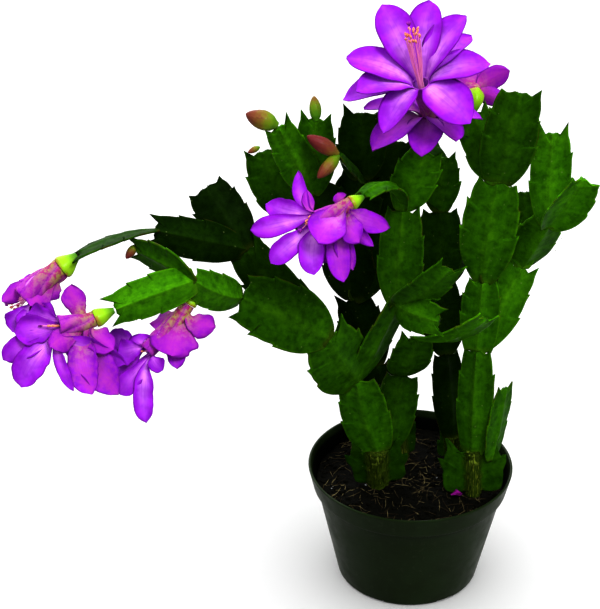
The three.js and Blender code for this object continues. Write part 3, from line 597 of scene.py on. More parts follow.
class Skin:
    """The points, faces and painted values of one piece, gathered body by body."""

    def __init__(self):
        self.points = []
        self.faces = []
        self.paint = []

    def loft(self, rings, paints):
        """A closed body over rings that run counterclockwise about the way forward."""
        start = len(self.points)
        count = len(rings[0])
        for ring, values in zip(rings, paints):
            self.points += ring
            self.paint += values
        for row in range(len(rings) - 1):
            for i in range(count):
                a = start + row * count + i
                b = start + row * count + (i + 1) % count
                self.faces.append((a, b, b + count, a + count))
        last = start + (len(rings) - 1) * count
        for first, end, way in ((start, 0, -1), (last, -1, 1)):
            middle = len(self.points)
            self.points.append(sum(rings[end], Vector()) / count)
            self.paint.append(paints[end][0])
            for i in range(count):
                pair = (first + i, first + (i + 1) % count)
                self.faces.append((*pair[::way], middle))

    def plain(self, rings, paint):
        """A closed body over rings with one paint."""
        self.loft(rings, [[paint] * len(rings[0])] * len(rings))

    def blade(self, rows):
        """A thin closed body. Each row goes from margin to margin and holds (front, back, paint of
        the front, paint of the back)."""
        rings = []
        paints = []
        for row in rows:
            fronts, backs, over, under = zip(*row)
            rings.append([*fronts, *backs[::-1]])
            paints.append([*over, *under[::-1]])
        self.loft(rings, paints)

    def tube(self, centres, radii, sides, paints, flute=0, ridges=5):
        """A round closed body along a line of points."""
        across = ASKEW
        rings = []
        for i, (centre, radius) in enumerate(zip(centres, radii)):
            along = centres[min(i + 1, len(centres) - 1)] - centres[max(i - 1, 0)]
            along.normalize()
            across = square(across, along)
            other = along.cross(across)
            ring = []
            for angle in circle(sides):
                out = radius * (1 + flute * math.cos(ridges * angle))
                ring.append(centre + around(across, other, angle) * out)
            rings.append(ring)
        self.loft(rings, [[paint] * sides for paint in paints])

    def piece(self, name, material, slot, node):
        """The finished piece, which takes the place of a node."""
        made = add_mesh(name, [point * MM for point in self.points], self.faces)
        look = made.data.color_attributes.new("look", "FLOAT_COLOR", "POINT")
        look.data.foreach_set("color", [value for paint in self.paint for value in paint])
        made.data.shade_smooth()
        made.data.materials.append(material)
        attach(made, "root")
        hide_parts(node)
        return made


class Finish:
    """A material, built up node by node over the painted values and the object's own coordinates."""

    def __init__(self, name, roughness=0.5, specular=0.5):
        self.material = bpy.data.materials.new(name)
        self.material.use_nodes = True
        self.tree = self.material.node_tree
        self.shader = self.tree.nodes["Principled BSDF"]
        self.shader.inputs["Roughness"].default_value = roughness
        self.shader.inputs["Specular IOR Level"].default_value = specular
        self.place = self.add("ShaderNodeTexCoord").outputs["Object"]
        painted = self.add("ShaderNodeAttribute", attribute_name="look")
        parts = self.add("ShaderNodeSeparateColor", {"Color": painted.outputs["Color"]})
        self.red, self.green, self.blue = parts.outputs
        self.alpha = painted.outputs["Alpha"]

    def feed(self, socket, value):
        if isinstance(value, bpy.types.NodeSocket):
            self.tree.links.new(value, socket)
        elif isinstance(value, tuple) and len(value) == 3 and socket.type == "RGBA":
            socket.default_value = (*value, 1)
        else:
            socket.default_value = value

    def add(self, kind, inputs=None, **settings):
        node = self.tree.nodes.new(kind)
        for name, value in settings.items():
            setattr(node, name, value)
        for socket, value in (inputs or {}).items():
            self.feed(node.inputs[socket], value)
        return node

    def combine(self, operation, a, b):
        return self.add("ShaderNodeMath", {0: a, 1: b}, operation=operation).outputs[0]

    def times(self, a, b):
        return self.combine("MULTIPLY", a, b)

    def span(self, value, low, high, start=0.0, end=1.0):
        """value between low and high, laid smoothly over start to end."""
        settings = {"Value": value, "From Min": low, "From Max": high, "To Min": start, "To Max": end}
        return self.add("ShaderNodeMapRange", settings, interpolation_type="SMOOTHSTEP").outputs[0]

    def mix(self, share, a, b, blend="MIX"):
        node = self.add("ShaderNodeMix", {0: share, 6: a, 7: b}, data_type="RGBA", blend_type=blend)
        return node.outputs[2]

    def layers(self, colour, blend, *masked):
        """A colour with more laid over it, each by its mask."""
        for mask, tint in masked:
            colour = self.mix(mask, colour, tint, blend)
        return colour

    def grain(self, size, detail=3.0, rough=0.6, stretch=(1, 1, 1), bend=0.0):
        """Noise whose patches are about so many millimetres across."""
        scaled = self.add("ShaderNodeMapping", {"Vector": self.place, "Scale": stretch})
        settings = {
            "Vector": scaled.outputs[0],
            "Scale": 1 / (size * MM),
            "Detail": detail,
            "Roughness": rough,
            "Distortion": bend,
        }
        return self.add("ShaderNodeTexNoise", settings).outputs["Fac"]

    def threads(self, count, depth, scale, detail):
        """Noise drawn out lengthways, read from the places painted on a blade."""
        grid = {0: self.times(self.red, count), 1: self.green, 2: depth}
        place = self.add("ShaderNodeCombineXYZ", grid).outputs[0]
        settings = {"Vector": place, "Scale": scale, "Detail": detail}
        return self.add("ShaderNodeTexNoise", settings).outputs["Fac"]

    def cells(self, size, feature="F1"):
        settings = {"Vector": self.place, "Scale": 1 / (size * MM)}
        return self.add("ShaderNodeTexVoronoi", settings, feature=feature).outputs["Distance"]

    def bump(self, height, depth, strength=1.0, below=None):
        settings = {"Height": height, "Distance": depth * MM, "Strength": strength}
        if below:
            settings["Normal"] = below
        return self.add("ShaderNodeBump", settings).outputs[0]

    def set(self, **inputs):
        """Feeds the shader's own sockets, and gives the material."""
        for name, value in inputs.items():
            self.feed(self.shader.inputs[name.replace("_", " ").title()], value)
        return self.material


def leaf_finish():
    """Waxy green skin, each segment's green partly its own tone and partly painted shade, lighter along
    the midrib, partly its own colour and partly a painted highlight, with painted shade towards the
    margins, a painted highlight on their rim, browned margins and corky old wood.
    """
    skin = Finish("leaf_skin", roughness=0.42, specular=0.025)
    across, along, tone_and_painted_shade, bark = skin.red, skin.green, skin.blue, skin.alpha
    patches = skin.span(skin.grain(9, 3, 0.6), 0.3, 0.7)
    fine = skin.grain(0.9, 4, 0.65)
    streaks = skin.threads(14, tone_and_painted_shade, 0.8, 3.0)
    blotches = skin.grain(3, 4, 0.6)
    # deep and light are the ends of each segment's green, which is partly its own tone and partly
    # painted shade
    deep = skin.mix(patches, (0.0022, 0.0095, 0.0005), (0.0042, 0.0155, 0.0008))
    light = skin.mix(patches, (0.042, 0.18, 0.002), (0.066, 0.25, 0.003))
    green = skin.layers(
        skin.mix(tone_and_painted_shade, deep, light),
        "MULTIPLY",
        (skin.span(fine, 0.56, 0.78, 0, 0.3), (1.8, 1.6, 2)),
        (skin.span(streaks, 0.5, 0.75, 0, 0.2), (1.7, 1.5, 2)),
        (skin.span(streaks, 0.5, 0.25, 0, 0.25), (0.4, 0.5, 0.6)),
        (skin.span(blotches, 0.5, 0.66, 0, 0.7), (1.5, 1.35, 1.2)),
        (skin.span(blotches, 0.5, 0.34, 0, 0.7), (0.5, 0.55, 0.6)),
        # painted shade: darker towards the margins, where the blade turns from the light
        (skin.span(across, 0.45, 0.85, 0, 0.55), (0.45, 0.5, 0.5)),
        # painted highlight on the rounded rim of the margin
        (skin.span(across, 0.9, 0.99, 0, 0.7), (2.4, 2.1, 1.5)),
        # lighter along the midrib: partly its own colour and partly a painted highlight
        (skin.span(across, 0.0, 0.3, 0.3, 0), (2, 1.6, 2)),
    )
    specks = skin.combine("LESS_THAN", skin.cells(5), 0.07)
    rim = skin.times(skin.span(across, 0.955, 1), skin.span(skin.grain(7), 0.42, 0.62))
    green = skin.layers(
        green,
        "MIX",
        (skin.span(along, -0.04, 0.07, 0.22, 0), (0.09, 0.12, 0.008)),
        (skin.times(specks, 0.3), (0.2, 0.26, 0.08)),
        (skin.times(rim, 0.6), (0.05, 0.022, 0.004)),
    )
    fissures = skin.grain(1.6, 5, 0.7, stretch=(1, 1, 0.16), bend=0.6)
    lines = skin.grain(0.8, 3, 0.7, stretch=(1, 1, 0.06), bend=0.3)
    collar = skin.times(skin.span(along, 0.8, 0.9), skin.span(skin.grain(3, 3), 0.4, 0.55, 0.1, 0.8))
    cork = skin.layers(
        skin.mix(skin.span(fissures, 0.35, 0.62), (0.008, 0.018, 0.001), (0.035, 0.06, 0.004)),
        "MIX",
        (skin.span(lines, 0.56, 0.7, 0, 0.7), (0.17, 0.2, 0.02)),
        (collar, (0.2, 0.27, 0.03)),
    )
    pores = skin.bump(skin.cells(0.45, "SMOOTH_F1"), 0.05, 0.35)
    flesh = skin.bump(skin.grain(3.5, 2), 0.35, 0.5, below=pores)
    return skin.set(
        base_color=skin.mix(bark, green, cork),
        specular_tint=(0.45, 0.9, 0.2),
        roughness=skin.span(skin.grain(4), 0.3, 0.7, 0.36, 0.48),
        normal=skin.bump(skin.times(fissures, bark), 0.9, 1.0, below=flesh),
    )


def petal_finish():
    """Violet petal skin, pale along its middle and towards the throat, with fine lengthways veins.
    The older a petal (alpha), the duller it is, and the more its foot and back are tanned."""
    skin = Finish("petal_skin", roughness=0.55, specular=0.05)
    across, along, inside, age = skin.red, skin.green, skin.blue, skin.alpha
    cloud = skin.grain(6, 2)
    flecks = skin.grain(2.2, 4, 0.65)
    threads = skin.threads(9, age, 1.2, 4.0)
    middle = skin.span(across, 0, 0.85, 1, 0)
    length = skin.span(along, 0.2, 0.95, 1, 0.08)
    uneven = skin.span(skin.combine("ADD", threads, cloud), 0.75, 1.25, 0.4, 1)
    upper = skin.layers(
        skin.mix(skin.span(cloud, 0.35, 0.65), (0.23, 0.006, 0.45), (0.3, 0.011, 0.56)),
        "MIX",
        (skin.times(skin.times(middle, length), uneven), (0.74, 0.33, 0.86)),
        (skin.times(skin.span(age, 0.3, 0.7, 0, 0.6), middle), (0.44, 0.06, 0.47)),
    )
    back = skin.mix(skin.span(across, 0, 0.75, 0.9, 0.1), (0.25, 0.006, 0.42), (0.38, 0.04, 0.45))
    back = skin.mix(skin.span(along, 0.05, 0.8, 0.8, 0.05), back, (0.47, 0.1, 0.34))
    both = skin.mix(inside, back, upper)
    both = skin.mix(skin.span(age, 0.05, 0.3), both, (0.86, 0.52, 0.88), "MULTIPLY")
    worn = skin.times(age, skin.span(flecks, 0.4, 0.62))
    old = skin.span(age, 0.2, 0.8)
    tan = skin.combine("SUBTRACT", old, skin.times(old, skin.span(along, 0.12, 0.75)))
    tanned = skin.mix(skin.span(flecks, 0.42, 0.56), (0.24, 0.025, 0.06), (0.27, 0.24, 0.03))
    both = skin.layers(
        both,
        "MIX",
        (skin.times(worn, 0.35), (0.42, 0.06, 0.3)),
        (skin.times(tan, skin.span(across, 0.3, 1, 0.9, 0.3)), tanned),
        (skin.span(across, 0.84, 1, 0, 0.75), (0.12, 0.002, 0.22)),
        (skin.span(threads, 0.5, 0.72, 0, 0.22), (0.2, 0.004, 0.4)),
    )
    veins = skin.bump(threads, 0.15, 0.5)
    return skin.set(
        base_color=both,
        roughness=skin.span(cloud, 0.3, 0.7, 0.45, 0.6),
        normal=skin.bump(skin.grain(1.2), 0.06, 0.4, below=veins),
        sheen_weight=0.08,
        sheen_tint=(0.8, 0.3, 1),
    )


def withered_finish():
    """The fallen petal, dark magenta."""
    skin = Finish("withered_skin", roughness=0.6, specular=0.08)
    clouds = skin.span(skin.grain(1.5, 4), 0.35, 0.65)
    colour = skin.mix(clouds, (0.06, 0.001, 0.05), (0.22, 0.004, 0.2))
    return skin.set(
        base_color=skin.mix(skin.span(skin.red, 0.5, 1, 0, 0.8), colour, (0.03, 0.001, 0.03)),
        normal=skin.bump(skin.grain(1.2), 0.2, 0.5),
    )


def ovary_finish():
    """Smooth yellow-green, darker at the foot and blushed towards the flower."""
    skin = Finish("ovary_skin", roughness=0.35, specular=0.15)
    blush = skin.times(skin.span(skin.green, 0.7, 1.05), skin.span(skin.grain(2.5), 0.35, 0.6))
    green = skin.layers(
        skin.mix(skin.span(skin.green, 0, 0.6), (0.05, 0.17, 0.006), (0.24, 0.47, 0.008)),
        "MIX",
        (blush, (0.3, 0.1, 0.03)),
        (skin.span(skin.grain(0.7, 4), 0.55, 0.8, 0, 0.4), (0.34, 0.5, 0.03)),
    )
    return skin.set(
        base_color=green,
        roughness=skin.span(skin.grain(2), 0.3, 0.7, 0.28, 0.45),
        normal=skin.bump(skin.grain(1.5), 0.12, 0.4),
    )


def stamen_finish():
    """Pink filaments (0), orange-red anthers (0.5) and a purple stigma (1), told by the paint."""
    skin = Finish("stamen_skin", roughness=0.5, specular=0.3)
    dust = skin.grain(0.35, 4)
    dusty = skin.span(dust, 0.4, 0.6)
    thread = skin.mix(skin.span(skin.green, 0, 0.9), (0.8, 0.34, 0.56), (0.75, 0.24, 0.46))
    anther = skin.mix(dusty, (0.55, 0.1, 0.08), (0.72, 0.34, 0.2))
    stigma = skin.mix(dusty, (0.2, 0.006, 0.28), (0.3, 0.015, 0.35))
    kinds = ((skin.span(skin.red, 0.24, 0.26), anther), (skin.span(skin.red, 0.74, 0.76), stigma))
    return skin.set(
        base_color=skin.layers(thread, "MIX", *kinds),
        roughness=skin.span(skin.red, 0, 0.5, 0.45, 0.8),
        normal=skin.bump(dust, 0.08, 0.5),
    )


def bud_finish():
    """Green foot that turns to yellow, orange-pink and red towards the tip as the bud ripens."""
    skin = Finish("bud_skin", roughness=0.45, specular=0.12)
    tint = skin.grain(2.2, 3)
    ripe = skin.combine("ADD", skin.green, skin.times(skin.blue, 0.9))
    ripe = skin.combine("ADD", skin.combine("SUBTRACT", skin.times(tint, 0.5), 0.25), ripe)
    ramp = skin.add("ShaderNodeValToRGB", {"Fac": skin.span(ripe, 0.1, 1.7)})
    stops = [
        (0, (0.05, 0.17, 0.004)),
        (0.3, (0.12, 0.2, 0.006)),
        (0.5, (0.17, 0.14, 0.014)),
        (0.72, (0.17, 0.055, 0.022)),
        (1, (0.14, 0.018, 0.022)),
    ]
    elements = ramp.color_ramp.elements
    while len(elements) < len(stops):
        elements.new(0.5)
    for element, (place, colour) in zip(elements, stops):
        element.position = place
        element.color = (*colour, 1)
    seam = skin.span(skin.red, 0.75, 1, 0, 0.5)
    return skin.set(
        base_color=skin.mix(seam, ramp.outputs[0], (0.08, 0.016, 0.01)),
        roughness=skin.span(tint, 0.3, 0.7, 0.35, 0.5),
        normal=skin.bump(skin.grain(1), 0.08, 0.4),
    )


def pot_finish():
    """Satin moulded plastic, dark green, a little dusty, with painted shade on its inner wall and faint
    rings of flow.
    """
    skin = Finish("pot_plastic", roughness=0.35, specular=0.06)
    clouds = skin.span(skin.grain(18, 4), 0.3, 0.7)
    dust = skin.times(skin.span(skin.grain(3, 5, 0.7), 0.55, 0.75), 0.25)
    green = skin.layers(
        skin.mix(clouds, (0.0075, 0.015, 0.003), (0.0105, 0.0215, 0.0055)),
        "MIX",
        (dust, (0.045, 0.058, 0.03)),
        # painted shade on the inner wall
        (skin.red, (0.001, 0.0015, 0.001)),
    )
    flow = skin.bump(skin.grain(2.5, 2, stretch=(0.1, 0.1, 1)), 0.05, 0.5)
    return skin.set(
        base_color=green,
        roughness=skin.span(skin.grain(7, 4), 0.3, 0.7, 0.3, 0.44),
        normal=skin.bump(skin.grain(0.8, 3), 0.02, 0.5, below=flow),
    )


def peat_finish():
    """Dark damp peat (0), tan fibres (0.5) and pale grit (1), told by the paint."""
    skin = Finish("peat", roughness=0.9, specular=0.05)
    crumb = skin.grain(1.4, 6, 0.75)
    dark = skin.mix(skin.span(crumb, 0.35, 0.62), (0.0004, 0.0005, 0.0002), (0.0026, 0.0027, 0.0011))
    dark = skin.mix(skin.span(skin.grain(0.5, 3), 0.6, 0.74, 0, 0.5), dark, (0.018, 0.013, 0.005))
    tan = skin.mix(skin.span(skin.grain(2.5, 4), 0.35, 0.7), (0.06, 0.042, 0.014), (0.42, 0.36, 0.17))
    tan = skin.mix(skin.green, tan, (0.02, 0.012, 0.006))
    pale = skin.mix(skin.span(skin.grain(0.8), 0.4, 0.6), (0.16, 0.17, 0.17), (0.4, 0.42, 0.43))
    kinds = ((skin.span(skin.red, 0.24, 0.26), tan), (skin.span(skin.red, 0.74, 0.76), pale))
    return skin.set(
        base_color=skin.layers(dark, "MIX", *kinds),
        roughness=skin.span(crumb, 0.3, 0.7, 0.75, 0.95),
        normal=skin.bump(crumb, 0.8, 0.8),
    )


def floor_finish():
    """Nearly white, hardly mottled."""
    skin = Finish("studio_floor", roughness=0.85, specular=0.1)
    return skin.set(base_color=skin.mix(skin.grain(60), (0.94, 0.94, 0.94), (0.96, 0.96, 0.96)))


def margin_rows(foot, claws, slide, bulge):
    """A margin's rows: its place, the midrib's place and half thickness, and how much of a vein
    runs to it. claws gives the length of each claw as a part of its full length; slide and bulge
    move the claws along and the margin out."""
    half, along, rib_at, rib_half = foot, FOOT_AT, FOOT_AT, FOOT_HALF
    rows = [(half, along, rib_at, rib_half, 0)]
    for arc, (first, second, end, rib_to, half_to, steps, claw) in enumerate(MARGIN_ARCS):
        corners = [(half, along), first, second, end]
        if arc == 0:
            corners[1] = (lerp(foot, 1, FOOT_FLARE), first[1])
        for step in range(1, steps + 1):
            t = step / steps
            s = 1 - t
            weights = (s**3, 3 * s * s * t, 3 * s * t * t, t**3)
            x, y = (sum(w * corner[k] for w, corner in zip(weights, corners)) for k in (0, 1))
            if claw is not None:
                foot_x, foot_y = CLAW_FEET[claw]
                share = lerp(1, claws[claw], s if arc in CLAW_DOWN else t)
                x, y = lerp(foot_x, x, share), lerp(foot_y, y, share)
            middle = math.sin(math.pi * min(1, max(0, y)))
            x, y = x * (1 + bulge * middle), y + slide * middle
            vein = 0
            if arc in BAYS and step >= steps - 1:
                vein = 1 if step == steps else VEIN_BEFORE
            elif arc - 1 in BAYS and step == 1:
                vein = VEIN_AFTER
            rows.append((x, y, lerp(rib_at, rib_to, t), lerp(rib_half, half_to, t), vein))
        (half, along), rib_at, rib_half = end, rib_to, half_to
    return rows


def segment(skin, a, b, width, turn, bow, sweep, fold, tone_and_painted_shade, foot=FOOT_PART, horns=1, swell=1):
    """One flat segment from joint to joint, with claws along its margins and horns at its end."""
    along = (b - a).normalized()
    face = square(NEAR, along)
    face.rotate(Matrix.Rotation(math.radians(turn), 3, along))
    side = face.cross(along)
    curve = bent(a, a.lerp(b, 0.5) + face * 2 * bow + side * 2 * sweep, b)
    length = (b - a).length
    tame = 1 - abs(fold)
    margins = {}
    for way in (1, -1):
        claws = [size * (1 + play(CLAW_PLAY)) for size in (tame, tame, horns)]
        margins[way] = margin_rows(foot, claws, play(CLAW_SLIDE), play(BULGE))
    drift = somewhere()
    # tint is the segment's green: partly its own tone and partly painted shade, varied a little by
    # chance
    tint = tone_and_painted_shade + play(SHADE_PLAY)
    rows = []
    for row in range(len(margins[1])):
        spots = []
        for w in COLUMNS:
            way = 1 if w >= 0 else -1
            half, edge_at, rib_at, rib_half, vein = margins[way][row]
            out = abs(w)
            t = lerp(rib_at, edge_at, out)
            centre, across, up = blade_frame(curve, side, t)
            wide = w * half * width / 2 * (1 + UNEVEN * wave(drift, 4 * edge_at, 5 * way))
            ridge = 0.5 * hump(out, RIDGE_SPREAD) + 0.5 * (1 - out**RIDGE_FALL)
            thick = lerp(EDGE_HALF, rib_half * swell, ridge)
            thick += VEIN_HEIGHT * vein * smooth(out, 0.05, 0.2) * (1 - smooth(out, 0.75, 1))
            ripple = SWAY * out * wave(drift, 3 * t, way * 2 + w, length / 20)
            puff = PUFF * wave(drift, 9 * t, 4 * w)
            middle = centre + across * wide + up * (fold * abs(wide) + ripple)
            paint = (out, t, tint, 0)
            spots.append((middle + up * (thick + puff), middle - up * (thick - puff), paint, paint))
        rows.append(spots)
    skin.blade(rows)
    return curve, side


def bristles(skin, curve, side, width):
    """Short stiff hairs in the bays of a segment and at its cut-off end."""
    for half, t in BRISTLE_SPOTS:
        for way in (1, -1):
            centre, across, up = blade_frame(curve, side, t)
            foot = centre + across * way * (half * width / 2 - 0.4)
            along = (curve(t + 0.02) - curve(t)).normalized()
            for _ in range(2):
                lean = along * chance.uniform(0.6, 1.2) + across * way * chance.uniform(0.1, 0.8)
                lean += up * play(0.5)
                tip = foot + lean.normalized() * chance.uniform(0.6, 1.6)
                centres = (foot, foot.lerp(tip, 0.6), tip)
                skin.tube(centres, BRISTLE_RADII, 4, [BRISTLE_PAINT] * 3)


def crown(skin, foot, top, width, column, tone_and_painted_shade):
    """An old first segment: a stout ribbed column between two leafy wings."""
    along = (top - foot).normalized()
    side = square(RIGHT, along)
    up = along.cross(side)
    length = (top - foot).length
    part = 2 * column / width
    drifts = {way: somewhere() for way in (1, -1)}
    rows = []
    for row in range(WING_ROWS + 1):
        place = (len(WING_OUTLINE) - 1) * row / WING_ROWS
        i = min(int(place), len(WING_OUTLINE) - 2)
        (x0, y0), (x1, y1) = WING_OUTLINE[i], WING_OUTLINE[i + 1]
        half, edge_at = lerp(x0, x1, place - i), lerp(y0, y1, place - i)
        rib_at = row / WING_ROWS * CROWN_OVER
        spots = []
        for w in COLUMNS:
            out = abs(w)
            drift = drifts[1 if w >= 0 else -1]
            uneven = 1 + WING_UNEVEN * wave(drift, 2.2 * edge_at)
            height = edge_at * (1 + 0.1 * wave(drift, 0, 3 * edge_at, 7))
            wide = w * half * width / 2 * lerp(1, uneven, smooth(out, 0.4, 0.9))
            inside = abs(wide) / column
            t = lerp(rib_at, height, smooth(out, part * 0.6, 1))
            rounding = math.sqrt(max(0, 1 - min(1, inside) ** 2))
            ribs = CROWN_RIB * math.cos(7 * wide) * rounding
            thick = max(WING_HALF * (1 - 0.5 * out), column * 0.8 * rounding + ribs)
            bend = WING_BEND * smooth(out, 0.4, 1) * wave(drift, 2 * edge_at, 9, 4)
            middle = foot + along * t * length + side * wide + up * bend
            # the crown's green, partly its own tone and partly painted shade, goes in the paint's third
            # value
            paint = (0.5, 0.5, tone_and_painted_shade, 1 - smooth(inside, 0.85, 1.1))
            spots.append((middle + up * thick, middle - up * thick, paint, paint))
        rows.append(spots)
    skin.blade(rows)


def stem(name, spec, material):
    """A rooted stem: its root and trunk, its crown, and the segments of all its shoots."""
    (x, y), radius, (crown_joint, crown_width, crown_tone_and_painted_shade), shoots = spec
    skin = Skin()
    top = Vector(JOINTS[crown_joint])
    foot = Vector((x, y, SOIL_LEVEL - ROOT_DEPTH))
    wings = Vector((x, y, CROWN_FOOT))
    crown(skin, wings, top, crown_width, radius, crown_tone_and_painted_shade)
    trunk = Path([foot, wings, top])
    places = shares(TRUNK_STEPS)
    radii = [radius * (0.97 - 0.2 * t + 0.03 * math.sin(2.1 * i)) for i, t in enumerate(places)]
    paints = [(0.5, t, 0.4, 1) for t in places]
    line = [trunk.at(t) for t in places]
    skin.tube(line, radii, TUBE_SIDES, paints, TRUNK_FLUTE, TRUNK_RIDGES)
    for start, *segments in shoots:
        a = Vector(JOINTS[start])
        for joint, *shape in segments:
            b = Vector(JOINTS[joint])
            curve, side = segment(skin, a, b, *shape)
            bristles(skin, curve, side, shape[0])
            a = b
    skin.piece(name + "_skin", material, "stem", name)


def petal(skin, curve, side, width, twist, age, wild):
    """A thin cupped blade with a small pointed tip. wild tells how ruffled and uneven it is."""
    cup = chance.uniform(0.14, 0.3)
    spoon = 1 + wild * chance.uniform(-0.1, 0.7)
    ruffle = chance.uniform(0.3, 0.6) + 1.2 * wild
    phase = play(math.pi)
    curl = chance.uniform(0, 0.05)
    sway = 1.3 * wild * play(1)
    drift = somewhere()
    length = (curve(1) - curve(0)).length
    rows = []
    for row in range(TEPAL_ROWS + 1):
        t = math.sin(0.5 * math.pi * row / TEPAL_ROWS) ** 0.9
        half = follow(TEPAL_OUTLINE, t**spoon) * width / 2
        turned = side.copy()
        turned.rotate(Matrix.Rotation(twist * min(1, t / TWIST_UNTIL), 3, heading(curve, t)))
        centre, across, up = blade_frame(curve, turned, t)
        centre = centre - up * curl * length * t**4 + up * sway * math.sin(5 * t + phase)
        spots = []
        for k in range(2 * TEPAL_COLUMNS + 1):
            u = 1 - k / TEPAL_COLUMNS
            v = abs(u)
            spot = Vector((4.5 * t, 2 * (u > 0), 3)) + drift
            uneven = 1 + (0.08 + 0.24 * wild) * smooth(t, 0.2, 0.5) * noise.noise(spot)
            uneven += 0.14 * wild * smooth(t, 0.3, 0.6) * noise.noise(3 * spot)
            lift = cup * half * v * v
            lift += ruffle * smooth(t, 0.3, 0.8) * v**3 * math.sin(9 * t + 2 * u + phase)
            lift += 0.9 * wild * v * wave(drift, 5 * t, 2 * u, 9)
            lift -= 0.2 * hump(u, 0.14) * (1 - t)
            thick = TEPAL_HALF * (1 - 0.6 * v) * (1 - 0.5 * t) + TEPAL_EDGE
            middle = centre + across * u * half * uneven + up * lift
            spots.append((middle + up * thick, middle - up * thick, (v, t, 1, age), (v, t, 0, age)))
        rows.append(spots)
    skin.blade(rows)


def tepal(skin, foot, axis, tip, width, show, age, wild):
    """A petal from a foot on the tube to its tip. It sets out along the axis and bends outwards."""
    reach = tip - foot
    along = reach.normalized()
    side = axis.cross(reach).normalized()
    wanted = NEAR.cross(along) * (1 if show > 0 else -1)
    angle = math.atan2(along.dot(side.cross(wanted)), side.dot(wanted))
    control = foot + axis * TEPAL_RISE * reach.length + reach * TEPAL_LEAN
    petal(skin, bent(foot, control, tip), side, width, abs(show) * angle, age, wild)


def stamens(name, path, anthers, material):
    """Many fine filaments with their anthers, and the style with its lobed stigma."""
    skin = Skin()
    mouth = path.at(1)
    top = mouth + seen(*anthers)
    along = (top - mouth).normalized()
    across = square(RIGHT, along)
    other = along.cross(across)
    root = path.at(STAMENS_FROM)
    places = shares(FILAMENT_STEPS)
    for i in range(FILAMENTS + 1):
        style = i == FILAMENTS
        way = around(across, other, i * GOLDEN_ANGLE)
        spread = STYLE_SPREAD if style else FILAMENT_SPREAD * math.sqrt((i + 1) / FILAMENTS)
        end = top + way * spread + along * (STYLE_LEAD if style else play(ANTHER_PLAY))
        line = Path([root + way * 0.9, mouth + way * 1.1, mouth.lerp(end, 0.5) + way * 0.8, end])
        thick = FILAMENT_RADIUS * (STYLE_SIZE if style else 1)
        radii = [thick * (1 - FILAMENT_TAPER * t) for t in places]
        paints = [(0, t, 0, 0) for t in places]
        skin.tube([line.at(t) for t in places], radii, FILAMENT_SIDES, paints)
        if style:
            for turn in range(STIGMA_LOBES):
                lobe = around(across, other, 2 * turn * math.pi / STIGMA_LOBES)
                tip = end + (along * 1.5 + lobe * 0.9)
                centres = [end - along * 0.3, end.lerp(tip, 0.4), end.lerp(tip, 0.8), tip]
                skin.tube(centres, [0.3, 0.42, 0.36, 0.1], TIP_SIDES, [(1, 1, 0, 0)] * 4)
        else:
            lean = (along + way * 0.5 + across * play(0.7) + other * play(0.7)).normalized()
            centres = [end + lean * s for s in (-0.9, -0.6, -0.1, 0.4, 0.8, 1)]
            radii = [0.12, 0.42, 0.56, 0.52, 0.34, 0.1]
            skin.tube(centres, radii, TIP_SIDES, [(0.5, 1, 0, 0)] * 6)
    skin.piece(name + "_stamens_skin", material, "stamen", name + "_stamens")


def bloom(name, spec, finishes):
    """A flower's three pieces: its ovary, its tube with all tepals, and its stamens."""
    base = Vector(JOINTS[spec["at"]])
    mouth = base + seen(*spec["mouth"])
    path = Path([base, base + seen(*spec["ovary"]), base + seen(*spec["bend"]), mouth])
    tube_from = spec["ovary_to"] + TUBE_GAP / path.length

    def radius_at(place):
        return spec["radius"] * lerp(NARROW, 1, (place - tube_from) / (1 - tube_from))

    ovary = Skin()
    places = shares(OVARY_STEPS)
    centres = [path.at(t * spec["ovary_to"]) for t in places]
    radii = [spec["radius"] * follow(OVARY_PROFILE, t) for t in places]
    ovary.tube(centres, radii, OVARY_SIDES, [(0, t, 0, 0) for t in places], OVARY_FLUTE)
    ovary.piece(name + "_ovary_skin", finishes["ovary"], "ovary", name + "_ovary")

    flower = Skin()
    outside = [lerp(tube_from, 1, t) for t in shares(TUBE_STEPS)]
    centres = [path.at(t) for t in outside]
    radii = [radius_at(t) for t in outside]
    for t in THROAT:
        centres.append(path.at(t) - path.heading(t) * LIP_GAP)
        part = 1 if t > THROAT_FROM else THROAT_FLOOR
        radii.append(max(LEAST_RADIUS, (radius_at(t) - TUBE_WALL) * part))
    age = TUBE_AGE + (1 - TUBE_AGE) * min(1, spec["wild"])
    turned_tube(flower, path, outside, centres, radii, age)

    def place(at, depth, tips, origin, least_age):
        centre, axis = path.at(at), path.heading(at)
        for right, up, near, width, show in tips:
            tip = origin + seen(right, up, near)
            out = square(tip - centre, axis)
            foot = centre + out * depth * radius_at(at) - axis * FOOT_SINK
            age = min(1, least_age + spec["wild"] * chance.uniform(0.1, 0.8))
            tepal(flower, foot, axis, tip, width, show, age, spec["wild"])

    place(spec["ovary_to"] + OUTER_AFTER, OUTER_DEPTH, spec["outer"], base, OUTER_AGE)
    place(1, INNER_DEPTH, spec["inner"], mouth, 0)
    flower.piece(name + "_tepals_skin", finishes["petal"], "tepal", name + "_tepals")
    stamens(name, path, spec["anthers"], finishes["stamen"])


